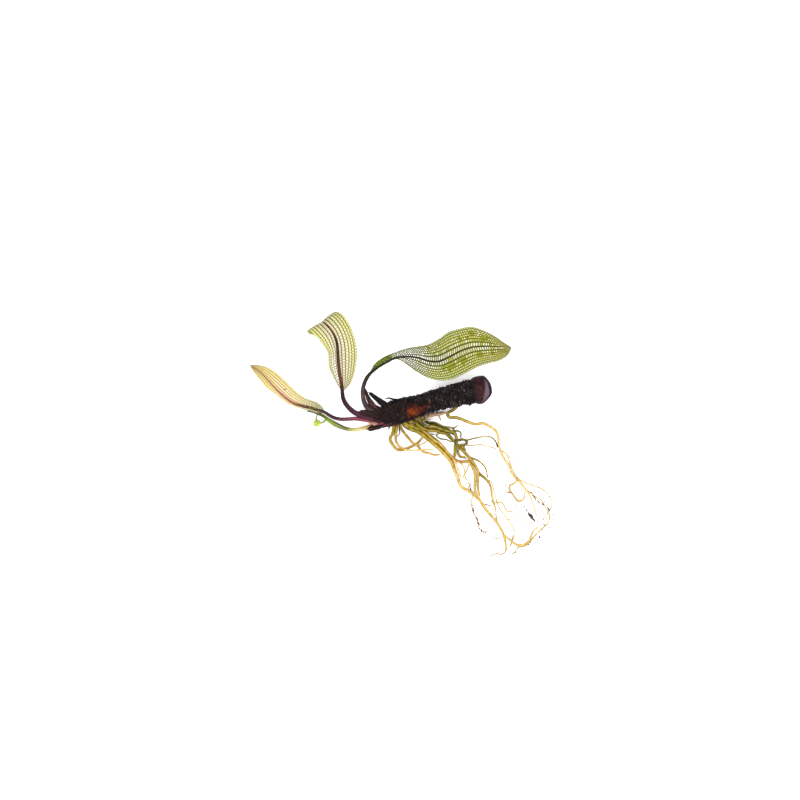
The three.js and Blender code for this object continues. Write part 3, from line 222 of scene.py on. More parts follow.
# Roots in the order in which they come to lie: how high one leaves the rhizome or which root it forks from,
# diameters and tones spread evenly along it, its course as seen, and its slot. A tone runs from 0, pale, to
# 1, dark olive.
ROOTS = {
    "root_outer_loop": (4, (2.6, 2.4, 2.2, 1.8), (0.8, 0.62, 0.55, 0.6), [
        (-4.8, 12), (-5.5, 6.3), (-6.6, -0.2), (-8.6, -4), (-8.5, -6.3), (-7.1, -9.1), (-5, -12.1),
        (-2.5, -14), (0.4, -14.2), (6, -12.1), (11, -9.9), (13.1, -8.5), (14.9, -6.4),
        (16.2, -4.6)], "olive_root"),
    "root_diagonal": (4, (2.2, 2.1, 1.9, 1.6), (0.8, 0.6, 0.5, 0.5), [
        (-0.8, 12.5), (-0.9, 6.5), (1, 2.4), (6.7, -5), (8.9, -7.6), (13.5, -11), (16.3, -14.7),
        (18.8, -16.2), (21.7, -16.7), (24.1, -17.7), (27, -18.3), (30.9, -18.1)], "olive_root"),
    "root_main_lower": (4, (2.8, 2.8, 2.7, 2.6, 2.4, 2.1, 2), (0.9, 0.66, 0.46, 0.38, 0.36, 0.42, 0.44), [
        (1.2, 13.5), (2.4, 7.2), (5.6, 4.3), (11.7, 1.6), (15.3, -0.1), (21, -4.6), (28.7, -11.7),
        (34.1, -17.3), (38.9, -23.3), (41.9, -30), (44.7, -37.5), (46.8, -43.8), (50.4, -46.6),
        (54.6, -49.1), (61, -54.8), (66.2, -63), (71.8, -69.8), (77, -77.3), (80.3, -84.7), (81.6, -92.1),
        (81.8, -97)], "gold_root"),
    "root_main_upper": (4.5, (2.2, 2.2, 2.3, 2.3, 2.2, 2, 1.7), (0.92, 0.7, 0.52, 0.52, 0.5, 0.45, 0.4), [
        (5.2, 14.5), (7.2, 8.6), (13.5, 5), (19.3, 0.7), (24.2, -4.3), (27.4, -6.8), (30.8, -8.8),
        (35.5, -14.4), (38.2, -17.9), (41, -20.6), (43.8, -23), (46.4, -23.8), (50, -24.1), (53.5, -23.6),
        (56.3, -28), (57.9, -32.3), (58.5, -37), (58.2, -41.8), (58, -46.5), (59, -50.5),
        (60.5, -53.2)], "gold_root"),
    "root_middle": (4.5, (2.2, 2.2, 2.2, 2.2, 2.2, 2, 1.8), (0.9, 0.72, 0.66, 0.7, 0.62, 0.5, 0.45), [
        (9.2, 17), (10.8, 9.8), (14, 6.6), (18, 3.9), (22, 2.2), (28, 1.8), (33, 0.2), (36.1, -0.9),
        (39.7, -4.5), (44, -8.6), (48, -13.7), (52.5, -18.5), (55.8, -23), (58.6, -27), (60.4, -30.6),
        (60.9, -34.7), (60.7, -39.4), (60.7, -44.1), (61.2, -49.5), (62, -52.6)], "gold_root"),
    "root_upright": (4.5, (2.4, 2.6, 2.6, 2.5, 2.4), (0.95, 0.85, 0.8, 0.78, 0.7), [
        (13.4, 18.5), (15.2, 9.8), (18, 6.9), (21.6, 5.5), (25.9, 5.5), (32.2, 3.1), (38.6, 1.4),
        (42.1, 0.5), (43.6, -2.4), (44, -5.1), (43.6, -8), (42.9, -10.8), (42.8, -14.6), (42.7, -18.5),
        (42.2, -20.2)], "olive_root"),
    "root_upright_branch": ("root_upright", (2, 1.9, 1.7), (0.75, 0.7, 0.68), [
        (43.5, -8.4), (44.9, -11), (45.2, -14.5), (45.6, -17.6), (47, -19.6), (50, -20.2),
        (51.6, -21)], "olive_root"),
    "root_olive": ("root_middle", (2, 1.9, 1.7, 1.5, 1.4), (0.68, 0.66, 0.55, 0.42, 0.36), [
        (59.6, -29), (61.4, -33.2), (65.9, -37.5), (68.2, -39.9), (69.7, -42.8), (70.8, -46.6),
        (71.6, -53.4), (73, -58.6), (74.1, -63.6), (74.4, -68.6)], "gold_root"),
    "root_knot": ("root_upright", (1.9, 2.1, 2, 1.8), (0.85, 0.92, 0.9, 0.85), [
        (43.7, -6.4), (46.2, -5.9), (49, -5.3), (51, -5.9), (52.2, -7.5), (51.3, -9.5), (49, -10.1),
        (46.9, -9.4)], "olive_root"),
    "root_long_dark": (5, (1.7, 1.6, 1.5, 1.3), (0.95, 0.88, 0.85, 0.8), [
        (17.6, 19.5), (19.4, 11), (22, 9.2), (25.2, 9), (28, 8.4), (33.7, 5.5), (39, 4.8), (41, 4),
        (43, 1.9), (44.8, 1.9), (46.7, 1.2), (47.8, -0.7), (47.4, -3), (47.9, -4.4)], "olive_root"),
    "root_spur": ("root_long_dark", (1.3, 1.2, 0.9), (0.85, 0.8, 0.78), [
        (40.6, 4.2), (42.2, 4.4), (44, 5.6), (46, 6.9)], "olive_root"),
    "root_dark_loop": ("root_middle", (1.3, 1.2, 1.1), (0.85, 0.85, 0.8), [
        (31.4, 0.3), (29.4, -0.6), (28.2, -2.2), (29.9, -4), (33.1, -5), (36.3, -5.5), (39, -7),
        (41.5, -7.4)], "olive_root"),
    "root_thin_dark": ("root_middle", (1.4, 1.3, 1.2, 1.1), (0.72, 0.7, 0.66, 0.6), [
        (53.4, -19.6), (57, -21.1), (59.8, -22.3), (62, -23.7), (66.4, -28.5), (67.4, -31.3), (68, -35.1),
        (68.8, -37.8)], "olive_root"),
    "root_whip": ("root_knot", (1.3, 1.1, 1), (0.8, 0.6, 0.85), [
        (51.3, -6.2), (54.6, -5.3), (60.6, -3.8), (65.2, -3.1), (69.8, -2.7), (72.2, -3.9), (74.4, -6),
        (75.6, -8.4), (76.3, -12)], "olive_root"),
    "root_low_arc": ("root_knot", (1.2, 1, 0.9), (0.75, 0.54, 0.44), [
        (50.4, -9.9), (55.4, -10.3), (59, -10), (62.2, -9.3), (65, -10), (71.7, -12), (74.8, -12.9),
        (76.2, -13.5)], "gold_root"),
    "root_right": (4, (2.6, 2.4, 2.2, 2, 2, 1.9, 1.8, 1.6), (0.86, 0.7, 0.46, 0.3, 0.3, 0.28, 0.26, 0.3), [
        (47, 26.5), (44, 22), (41.3, 19), (38.1, 17.6), (37.2, 15.5), (38.6, 13.4), (44.5, 12.9),
        (47.7, 11.9), (52.8, 9.7), (56.9, 8), (60.5, 7.5), (65, 8.2), (67.8, 7.3), (74.1, 3.2), (76.2, 0.3),
        (77.3, -3.5), (78.1, -12.2), (80.8, -19.8), (84.8, -26.6), (87.6, -33.7), (92.4, -39.4),
        (95.6, -43.4), (100.3, -50.3), (102.4, -55), (105.6, -66), (108.3, -73.5)], "pale_root"),
    "root_right_twin": ("root_right", (1.6, 1.6, 1.6, 1.5, 1.4), (0.4, 0.4, 0.38, 0.36, 0.38), [
        (78.6, -14.2), (81, -15.4), (83.2, -16.9), (84.7, -19.4), (85.7, -23.3), (88.7, -32), (92, -37.2),
        (94.8, -39.5), (98.5, -41.5), (109.8, -45.9), (113.9, -49), (116.8, -52.8), (118.2, -57.2),
        (117.8, -61.6), (115, -66), (112, -70), (111, -72.4)], "pale_root"),
    "root_ring": ("root_right", (1.5, 1.5, 1.4, 1.4, 1.2), (0.36, 0.56, 0.56, 0.4, 0.3), [
        (91.8, -38.8), (89.6, -41.3), (87.1, -42.8), (85.4, -43.8), (85.1, -45.9), (88.2, -51.6),
        (91.5, -56), (94, -56.3), (96.4, -54.3), (97.1, -51), (96.6, -48.2)], "gold_root"),
    "root_ring_tail": ("root_ring", (1.1, 1, 0.8), (0.35, 0.3, 0.25), [
        (91.6, -56), (90.9, -58), (90.4, -61.4), (89.8, -65)], "gold_root"),
    "root_specked": ("root_right", (1.1, 1.1, 1.1, 1.2, 1.3, 1.2, 1),
                     (0.42, 0.4, 0.42, 0.44, 0.44, 0.44, 0.55), [
        (99, -48.2), (100.8, -48.8), (103, -50), (105.5, -52.8), (109, -54.7), (111.3, -57.2),
        (114.1, -63.5), (115.8, -66.6), (116.1, -70.4), (115, -74), (110, -79), (104, -85), (101.5, -88.5),
        (98.5, -91.8), (95, -93.3), (91.7, -93.8), (88.9, -97.2), (87.6, -98.7),
        (85.6, -99.4)], "pale_root"),
    "root_bottom": ("root_main_lower", (1.7, 1.7, 1.7, 1.5, 1.3), (0.4, 0.4, 0.4, 0.35, 0.25), [
        (79.8, -83.8), (83.1, -86.4), (89, -91.2), (92, -92.3), (94.7, -92), (97.7, -90.7), (99.8, -88.6),
        (102, -83.5), (103.4, -80.5), (105.8, -78.5), (107.6, -76.6)], "gold_root"),
    "root_pale_twin": ("root_main_upper", (1.8, 1.7, 1.5), (0.4, 0.3, 0.28), [
        (41.6, -21.9), (43.2, -25), (44.6, -29), (46, -33), (47.2, -37.2)], "pale_root"),
    "root_curled_tip": ("root_main_upper", (1.3, 1.1, 0.9), (0.4, 0.3, 0.2), [
        (54.4, -24.4), (53.6, -26.8), (51.1, -32.8), (49.6, -34.9), (48.9, -37.2),
        (47.8, -39.2)], "pale_root"),
    "root_speckled": ("root_main_upper", (1, 0.9, 0.9, 0.9, 0.8), (0.4, 0.36, 0.34, 0.34, 0.34), [
        (44.6, -23.6), (47.3, -25.6), (49.4, -28), (50, -31), (51, -37.5), (53.6, -41.8), (53.9, -43.6),
        (53, -45.5), (56.1, -51.4), (55, -58.6), (55.9, -63.2), (58.9, -71), (61.2, -79), (64, -81.4),
        (68, -81)], "pale_root"),
    "root_pale_wave": ("root_olive", (1.2, 1.2, 1.2, 1.1, 1), (0.44, 0.4, 0.4, 0.38, 0.36), [
        (67.4, -38.8), (70.4, -40), (72.6, -45.9), (74, -51.6), (75, -56), (77, -62), (83.6, -71.7),
        (87.5, -78.6), (88.8, -81.7), (88.4, -85.3), (86.8, -89), (85.4, -93)], "pale_root"),
    "root_s_curve": ("root_olive", (1.2, 1.2, 1.1, 1), (0.4, 0.42, 0.46, 0.5), [
        (73, -57.8), (75.4, -57.4), (78.4, -57.4), (80.5, -59.2), (81.6, -62.3), (83, -64.5), (86, -65.1),
        (88.4, -63.9)], "gold_root"),
    "root_pale_link": ("root_pale_wave", (1, 0.9, 0.9), (0.38, 0.34, 0.36), [
        (83.4, -71.6), (86.8, -71), (90.4, -69.2), (93.4, -69.1), (95.8, -71), (99.3, -73.4),
        (103.6, -74.3)], "pale_root"),
    "root_inner_loop": (4.5, (2.2, 2, 1.8, 1.4, 1.2), (0.8, 0.62, 0.45, 0.35, 0.3), [
        (-2.9, 12), (-3.3, 6.4), (-4, -1), (-4.1, -6.1), (-1.4, -11), (1.5, -12.9), (4.6, -14),
        (8.2, -14.5), (16, -14), (21, -13.8), (26, -13.6)], "gold_root"),
    "root_small_loop": ("root_outer_loop", (1.2, 1.1, 1), (0.5, 0.45, 0.45), [
        (11.6, -9.6), (14.6, -9.9), (17.4, -8.7), (19.9, -7.2), (21.4, -5)], "gold_root"),
    "root_pink_strand": (4.5, (2.2, 2.4, 2.3, 2), (0.55, 0.2, 0.18, 0.3), [
        (21.6, 21.5), (21.8, 15.6), (23.6, 14.7), (26, 15.3), (30, 15.7), (36.6, 17.6)], "pale_root"),
    "root_short_link": ("root_pink_strand", (1.2, 1, 1), (0.5, 0.6, 0.7), [
        (29.8, 15.6), (31, 12.8), (31.8, 10.4)], "gold_root"),
    "root_left_tip": ("root_main_lower", (1, 0.9, 0.8), (0.5, 0.55, 0.5), [
        (81.7, -95.6), (80.4, -98.3), (78, -99.6), (74.6, -99), (72, -99.8), (69, -101.3)], "pale_root"),
}

# Thin strands that lie about the roots: course with heights, radius, flatness, tone, pink.
STRANDS = [
    ([(84, -19.3, 2.2), (87.5, -21, 1), (89.8, -21.4, 0.6), (92, -21.5, 0.6), (95, -22.3, 0.6),
      (95.4, -24.5, 0.3)], 0.3, 1, 0.36, 0),
    ([(19.5, -2.4, 2.4), (21.5, -1.8, 2), (23, -1.2, 1.6), (25.7, -1.2, 1.4),
      (27.8, -1, 1.8)], 0.55, 1, 0.2, 0.6),
    ([(66.2, -58.6, 0.8), (65.8, -58.6, 0.6), (67.5, -59.5, 0.5), (69.3, -60, 0.5),
      (71.7, -59.2, 0.9)], 0.4, 1, 0.86, 0),
    ([(71, -85.4, 0.4), (73.9, -86.8, 0.45), (77.5, -87.1, 0.5), (80, -86, 0.9)], 0.4, 1, 0.5, 0),
    ([(5, 9, 1.4), (12, 4.6, 1.2), (19, 0.4, 1.1), (26, -5.4, 1.1), (33, -12.2, 1.1),
      (38.4, -19, 1)], 1.2, 0.8, 0.8, 0),
    ([(10, 11, 1.6), (16, 7.4, 1.3), (23, 3.4, 1.2), (30, 3.8, 1.1), (37, 1.4, 1),
      (42, -1.4, 0.9)], 1.2, 0.8, 0.9, 0),
    ([(-2, 10, 2), (5, 7, 1.5), (12, 3.4, 1.2), (20, -1.6, 1.1), (25, -4, 1)], 1.3, 0.8, 0.84, 0),
    ([(14, 13, 2.2), (20, 9.6, 1.5), (26, 7.2, 1.2), (33, 4.8, 1.1), (39, 3, 1)], 1.2, 0.7, 0.86, 0),
    ([(87.4, -84.4, 0.5), (86.6, -88, 0.55), (85.2, -92, 0.6), (84.4, -95.4, 0.5)], 0.45, 1, 0.6, 0),
    ([(7, 9.4, 4), (10, 9.2, 3.6), (14, 8.8, 3.2), (18, 9.8, 3), (22, 11.2, 3)], 0.7, 1, 0.5, 0.2),
    ([(8, 10.6, 3.4), (11.1, 11.8, 3.4), (15, 13, 3.2), (19, 14, 3), (23, 14.9, 2.8), (28.6, 16.2, 2.4),
      (34, 17.6, 2.2)], 1.9, 0.35, 0.3, 0.85),
    ([(12, 9.6, 3.6), (17, 10.4, 3.4), (22, 11.6, 3.4), (27, 12.2, 3.4)], 0.55, 0.6, 0.36, 0.5),
    ([(3, 6.6, 2.6), (9.5, 3.1, 1.3), (16.6, -0.4, 1), (24, -5.8, 0.95), (29.8, -10.6, 0.95),
      (35.2, -16.4, 0.95), (39.4, -20.8, 0.95), (41.6, -25, 0.9), (43.4, -30.6, 0.9)], 0.95, 1, 0.5, 0),
    ([(2, 9, 3), (9, 5.4, 2), (15, 2.6, 1.4), (22, -1, 1.2), (27, -4.6, 1.1),
      (31.4, -8, 1)], 1.0, 1, 0.6, 0),
    ([(8, 11, 3.4), (14, 7.8, 2.4), (20, 3.6, 1.6), (26, 3.2, 1.4), (33, 2, 1.2), (38, -1, 1.1),
      (42, -5.6, 1)], 0.9, 1, 0.62, 0),
    ([(82.6, -41.8, 0.4), (81.9, -43.6, 0.5), (81.5, -45.4, 0.4)], 0.3, 1, 0.8, 0),
    ([(80.6, -47.6, 0.4), (83.6, -49.2, 0.5), (87, -50.4, 0.6)], 0.3, 1, 0.66, 0),
    ([(48, -10.4, 2.6), (49, -11.8, 2), (50.4, -13.2, 1.4), (51.5, -14.6, 1)], 1.0, 1, 0.7, 0),
    ([(-1.5, 8, 5), (-1.2, 2, 3.6), (-0.8, 0.4, 2.6), (-2, -2, 2), (-3.5, -3.3, 1.6)], 0.55, 1, 0.98, 0),
    ([(-3.6, 5, 4.6), (-3.6, 1, 3), (-4.6, -1, 2.4), (-5.6, -2.2, 2)], 0.5, 1, 0.95, 0.1),
    ([(74.2, -67.2, 0.8), (74.8, -70.6, 0.85), (75.4, -74, 1)], 0.55, 1, 0.4, 0),
    ([(15.4, -5.6, 2.2), (17, -4, 2.6), (18.8, -2.2, 3)], 0.85, 1, 0.62, 0),
    ([(-8.6, 7, 4.6), (-9.2, 4.8, 3.8), (-10.6, 2.6, 3)], 0.5, 1, 1.0, 0),
    ([(19.6, 19, 9), (20.6, 17.6, 8.6), (21.6, 16, 7.4), (21.7, 14.4, 6),
      (21.1, 13.2, 5)], 0.42, 1, 1.05, 0),
]

# Dirt among the root tips: the seen places of both ends and the half width.
SPECKS = [
    (53.2, -41.4, 54.8, -44.4, 0.5), (54.5, -45, 55.4, -49.3, 0.4), (50.4, -38, 52, -39, 0.26),
    (56.2, -51.2, 57.6, -52.8, 0.28), (54.6, -56, 55, -57, 0.36), (55.6, -59, 56, -60.2, 0.38),
    (56.4, -61.3, 56.9, -65.6, 0.46), (59.4, -69.4, 60, -72.2, 0.38), (60.5, -73.8, 61.4, -76.2, 0.38),
    (62.7, -79.5, 63, -82, 0.38), (69.7, -83, 70.6, -84, 0.32), (96.7, -60.6, 97.2, -61.5, 0.38),
    (98, -63, 99, -65.3, 0.4), (99.6, -66.2, 103.2, -71, 1.1), (103, -70.4, 104.8, -73, 0.6),
    (102, -49, 102.6, -50.1, 0.33), (104.2, -52.5, 105.7, -55.5, 0.4), (106.7, -56, 108.8, -58, 0.38),
    (110.3, -58.3, 112, -60, 0.36), (114.4, -61.3, 116.7, -64.5, 0.44), (118.4, -67.3, 119, -68.3, 0.33),
    (111.2, -75, 112, -76, 0.44), (114, -77.3, 117.2, -78, 0.3), (107.6, -85, 108.4, -86.6, 0.5),
    (105.8, -87.4, 106.5, -88.5, 0.3), (82, -43.6, 81.8, -46.6, 0.24), (84, -48.7, 86.5, -49.7, 0.26),
    (75.5, -8.2, 77, -12, 0.34), (70, -56.6, 72, -57.4, 0.26), (106.2, -72.2, 107.7, -74.6, 0.2),
    (112.4, -56, 113.6, -58.5, 0.2), (103, -51.5, 103.6, -52.5, 0.26), (-92.5, 37.2, -93.5, 36.7, 0.42)]


# In metres. Lamps: name, place, size, power and tint. Then the colour and strength of the light all round,
# and the side of the white sheet.
LAMPS = (("soft_front", (-0.1, -1.5, 1.5), 1.6, 56, (1, 0.99, 0.96)),
         ("soft_top", (0.2, 0.2, 1.9), 1.8, 20, (1, 1, 1)))
ROOM_LIGHT = ((0.9, 0.9, 1.0, 1), 1.3)
SHEET_SIZE = 12


def length(name, description, default, low, high):
    return FloatProperty(name=name, description=description, default=default, min=low, max=high,
                         unit="LENGTH")


def factor(name, description, default, low, high):
    return FloatProperty(name=name, description=description, default=default, min=low, max=high,
                         subtype="FACTOR")


class PlantSizes(bpy.types.PropertyGroup):
    ledge: length("Scar ledge", "Height of the rings that old leaves left on the bark", 0.0011, 0, 0.002)
    flake: length("Bark flakes", "Depth of the cracks between flakes of bark", 0.0006, 0, 0.002)
    vein: length("Vein thickness", "Thickness of a blade at its long veins", 0.00075, 0.0002, 0.002)
    rim: factor("Window rim", "Share of the vein's thickness left at the edge of a window", 0.36, 0.1, 1)
    bulge: factor("Blade bulge", "How far each half of a blade arches, by its width", 0.05, -0.3, 0.3)
    root_ring: length("Root ring", "Length of one ring of a root's mesh", 0.0007, 0.0003, 0.003)
    bark_rings: IntProperty(name="Bark rings", description="Rings of faces along the rhizome", default=300,
                            min=60)
    bark_sides: IntProperty(name="Bark sides", description="Faces round the rhizome", default=140, min=40)


def colour(name, description, default):
    return FloatVectorProperty(name=name, description=description, subtype="COLOR", size=4, min=0, max=1,
                               default=default)


class PlantColours(bpy.types.PropertyGroup):
    bark: colour("Bark", "Near-black bark", linear(34, 26, 24))
    # Grey flakes of bark, whose pale colour also stands in for small glints on the wet bark: a painted
    # highlight.
    bark_fleck_glint: colour("Bark flecks", "Grey flakes of bark", linear(98, 86, 84))
    rust: colour("Rust", "Bare patch where bark has come off", linear(190, 78, 14))
    cap: colour("Old end", "Smooth old end of the rhizome", linear(66, 26, 25))
    # The old end's cut face: its own lilac-grey, with a painted highlight in it.
    cap_face_highlight: colour("Old end facet", "Lilac-grey face of the old end", linear(128, 106, 118))
    sheath: colour("Dead sheath", "Dried leaf bases", linear(36, 25, 23))
    # Red-brown streaks on the dried bases, partly their own colour and partly painted highlights along their
    # ridges.
    sheath_streak: colour("Sheath streaks", "Red-brown streaks on the dried leaf bases", linear(86, 54, 46))
    bud: colour("Bud", "Yellow-green bud", linear(200, 216, 50))
    dirt: colour("Dirt", "Specks among the root tips", linear(58, 36, 40))
    floor: colour("Sheet", "White sheet below the plant", (0.93, 0.93, 0.94, 1.0))


def seen(point, height=None):
    """The real place of a point that is drawn as it is seen."""
    ground = np.array([point[0], point[1], 0.0])
    rise = point[2] if height is None else height
    return ground + (EYE - ground) * (rise / EYE[2]) - MIDDLE


def as_seen(points):
    """Where real places are seen on the sheet below."""
    real = points + MIDDLE
    share = real[:, 2:] / EYE[2]
    return ((real - EYE * share) / (1 - share))[:, :2]


class Course:
    """A smooth line through points, that leans less into a corner where points are close."""

    def __init__(self, points):
        self.points = np.array(points, float)
        ends = [2 * self.points[0] - self.points[1], 2 * self.points[-1] - self.points[-2]]
        self.padded = np.vstack([ends[0], self.points, ends[1]])
        shares = np.linspace(0, 1, 20 * len(self.points))
        steps = np.linalg.norm(np.diff(self.at(shares), axis=0), axis=1)
        self.shares, self.lengths = shares, np.concatenate([[0], np.cumsum(steps)])
        self.length = self.lengths[-1]

    def at(self, shares):
        """Points at shares that count the points, as a table row by row."""
        shares = np.atleast_1d(np.asarray(shares, float))
        place = np.clip(shares, 0, 1) * (len(self.points) - 1)
        first = np.minimum(place.astype(int), len(self.points) - 2)
        t = (place - first)[:, None]
        p0, p1, p2, p3 = (self.padded[first + k] for k in range(4))
        gaps = [np.maximum(np.sum((b - a) ** 2, axis=1) ** 0.25, 1e-4)[:, None] for a, b in
                ((p0, p1), (p1, p2), (p2, p3))]
        out = (p1 - p0) / gaps[0] - (p2 - p0) / (gaps[0] + gaps[1]) + (p2 - p1) / gaps[1]
        back = (p2 - p1) / gaps[1] - (p3 - p1) / (gaps[1] + gaps[2]) + (p3 - p2) / gaps[2]
        m1, m2 = out * gaps[1], back * gaps[1]
        square = -3 * p1 + 3 * p2 - 2 * m1 - m2
        cube = 2 * p1 - 2 * p2 + m1 + m2
        return p1 + m1 * t + square * t ** 2 + cube * t ** 3

    def along(self, shares):
        """Points at shares of the length."""
        return self.at(np.interp(np.asarray(shares) * self.length, self.lengths, self.shares))


def spread(values, shares):
    """Values that are spread evenly, at shares from 0 to 1."""
    values = np.asarray(values, float)
    return np.interp(shares, np.linspace(0, 1, len(values)), values)


def wander(shares, seed, waves):
    """A smooth random line from -1 to 1, with about that many waves."""
    return np.array([noise.noise(Vector((seed * 3.7, share * waves, seed * 1.3))) for share in shares])


def directions(centres):
    """Along, right and up at each point of a line."""
    along = np.gradient(centres, axis=0)
    along /= np.linalg.norm(along, axis=1)[:, None]
    right = np.cross(along, UP)
    right /= np.linalg.norm(right, axis=1)[:, None]
    return along, right, np.cross(right, along)


def at_distance(profile, distance):
    """The value of a profile of places and values at a distance."""
    return np.interp(distance, [place for place, _ in profile], [value for _, value in profile])


# Modelling.

def deselect():
    bpy.ops.object.select_all(action="DESELECT")


def flat_sheet(name, columns, rows):
    """A grid of faces whose x and y run from 0 to 1, and its table of x and y."""
    deselect()
    bpy.ops.mesh.primitive_grid_add(x_subdivisions=columns, y_subdivisions=rows, size=1, location=(0, 0, 0))
    piece = bpy.context.object
    piece.name = name
    piece.data.name = name
    return piece, points_of(piece)[:, :2] + 0.5


def points_of(piece):
    table = np.zeros(len(piece.data.vertices) * 3)
    piece.data.vertices.foreach_get("co", table)
    return table.reshape(-1, 3)


def set_points(piece, table):
    piece.data.vertices.foreach_set("co", (np.asarray(table) * MM).ravel())
    piece.data.update()


def set_values(piece, name, values):
    """Values for each vertex, or one for all."""
    layer = piece.data.attributes.get(name) or piece.data.attributes.new(name, "FLOAT", "POINT")
    table = np.broadcast_to(np.asarray(values, np.float32), len(piece.data.vertices))
    layer.data.foreach_set("value", table.copy())


def close_up(piece, smooth=True):
    """Joins the edges of a rolled sheet and turns its faces out."""
    bpy.context.view_layer.objects.active = piece
    piece.select_set(True)
    bpy.ops.object.mode_set(mode="EDIT")
    bpy.ops.mesh.select_all(action="SELECT")
    bpy.ops.mesh.remove_doubles(threshold=2e-6)
    bpy.ops.mesh.normals_make_consistent(inside=False)
    bpy.ops.object.mode_set(mode="OBJECT")
    if smooth:
        bpy.ops.object.shade_smooth()


def rings_and_angles(place, sides, rings):
    """The ring and the angle of each vertex of a flat sheet that is rolled up."""
    ring = np.rint(place[:, 1] * rings).astype(int)
    return ring, SEAM + 2 * math.pi * np.rint(place[:, 0] * sides) / sides


def rolled_tube(name, centres, halves, sides, relief=None, values=None):
    """A sheet rolled up round a line into a tube with rounded ends. halves holds the half width and half
    thickness of each ring. relief(share, angle) says how far the skin stands out, as a share. values are
    spread along it."""
    centres, halves = np.asarray(centres, float), np.asarray(halves, float)
    along, right, up = directions(centres)
    last = len(centres) - 1
    cap = np.radians([90, 62, 32])
    stations = [(0, -math.sin(turn), math.cos(turn), 0) for turn in cap]
    stations += [(i, 0, 1, i / last) for i in range(last + 1)]
    stations += [(last, math.sin(turn), math.cos(turn), 1) for turn in cap[::-1]]
    rings = np.array([centres[i] + along[i] * halves[i].mean() * out for i, out, _, _ in stations])
    sizes = np.array([halves[i] * size for i, _, size, _ in stations])
    shares = np.array([share for _, _, _, share in stations])
    piece, place = flat_sheet(name, sides, len(rings) - 1)
    ring, angle = rings_and_angles(place, sides, len(rings) - 1)
    out = np.ones(len(ring)) if relief is None else 1 + relief(shares[ring], angle)
    frame_of = np.array([i for i, _, _, _ in stations])[ring]
    points = rings[ring] + right[frame_of] * (np.cos(angle) * sizes[ring, 0] * out)[:, None]
    points += up[frame_of] * (np.sin(angle) * sizes[ring, 1] * out)[:, None]
    set_points(piece, points)
    set_values(piece, "along", shares[ring])
    for key, row in (values or {}).items():
        set_values(piece, key, spread(row, shares[ring]))
    close_up(piece)
    return piece


def flat_tube(name, course, widths, flat, sides, relief=None, values=None):
    """A tube whose thickness is a share of its width."""
    return rolled_tube(name, course, np.stack([widths, widths * flat], 1), sides, relief, values)


def thread(name, line, widths, scale, count, flat, sides):
    """A thin tube on a smooth line, with widths spread evenly along it and scaled."""
    shares = np.linspace(0, 1, count)
    return flat_tube(name, Course(line).along(shares), spread(widths, shares) * scale, flat, sides)


def skin_tree(pieces):
    """The skins of some pieces as one body that lines can be dropped onto."""
    points, faces = [], []
    for piece in pieces:
        start = len(points)
        points += [vertex.co.copy() for vertex in piece.data.vertices]
        faces += [[start + corner for corner in face.vertices] for face in piece.data.polygons]
    return BVHTree.FromPolygons(points, faces)


def laid_on(tree, starts, ways, lifts):
    """The places that lines from starts hit, lifted back off the skin."""
    course = []
    for start, way, lift in zip(starts, np.broadcast_to(ways, starts.shape), lifts):
        hit = tree.ray_cast(Vector(start * MM), Vector(way))[0]
        if hit is None:
            return None
        course.append(np.array(hit) / MM - way * lift)
    return np.array(course)


def join_pieces(name, pieces):
    """One piece of several."""
    deselect()
    for piece in pieces:
        piece.select_set(True)
    bpy.context.view_layer.objects.active = pieces[0]
    bpy.ops.object.join()
    pieces[0].name = name
    return pieces[0]


def apply_modifier(piece, kind, **settings):
    modifier = piece.modifiers.new(kind.title(), kind)
    for key, value in settings.items():
        setattr(modifier, key, value)
    deselect()
    piece.select_set(True)
    bpy.context.view_layer.objects.active = piece
    bpy.ops.object.modifier_apply(modifier=modifier.name)


def finish_piece(piece, material, slot, *nodes):
    """The finish of a piece, and what it stands for."""
    piece.data.materials.clear()
    piece.data.materials.append(material)
    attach(piece, "root")
    if nodes:
        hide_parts(*nodes)


# Materials.

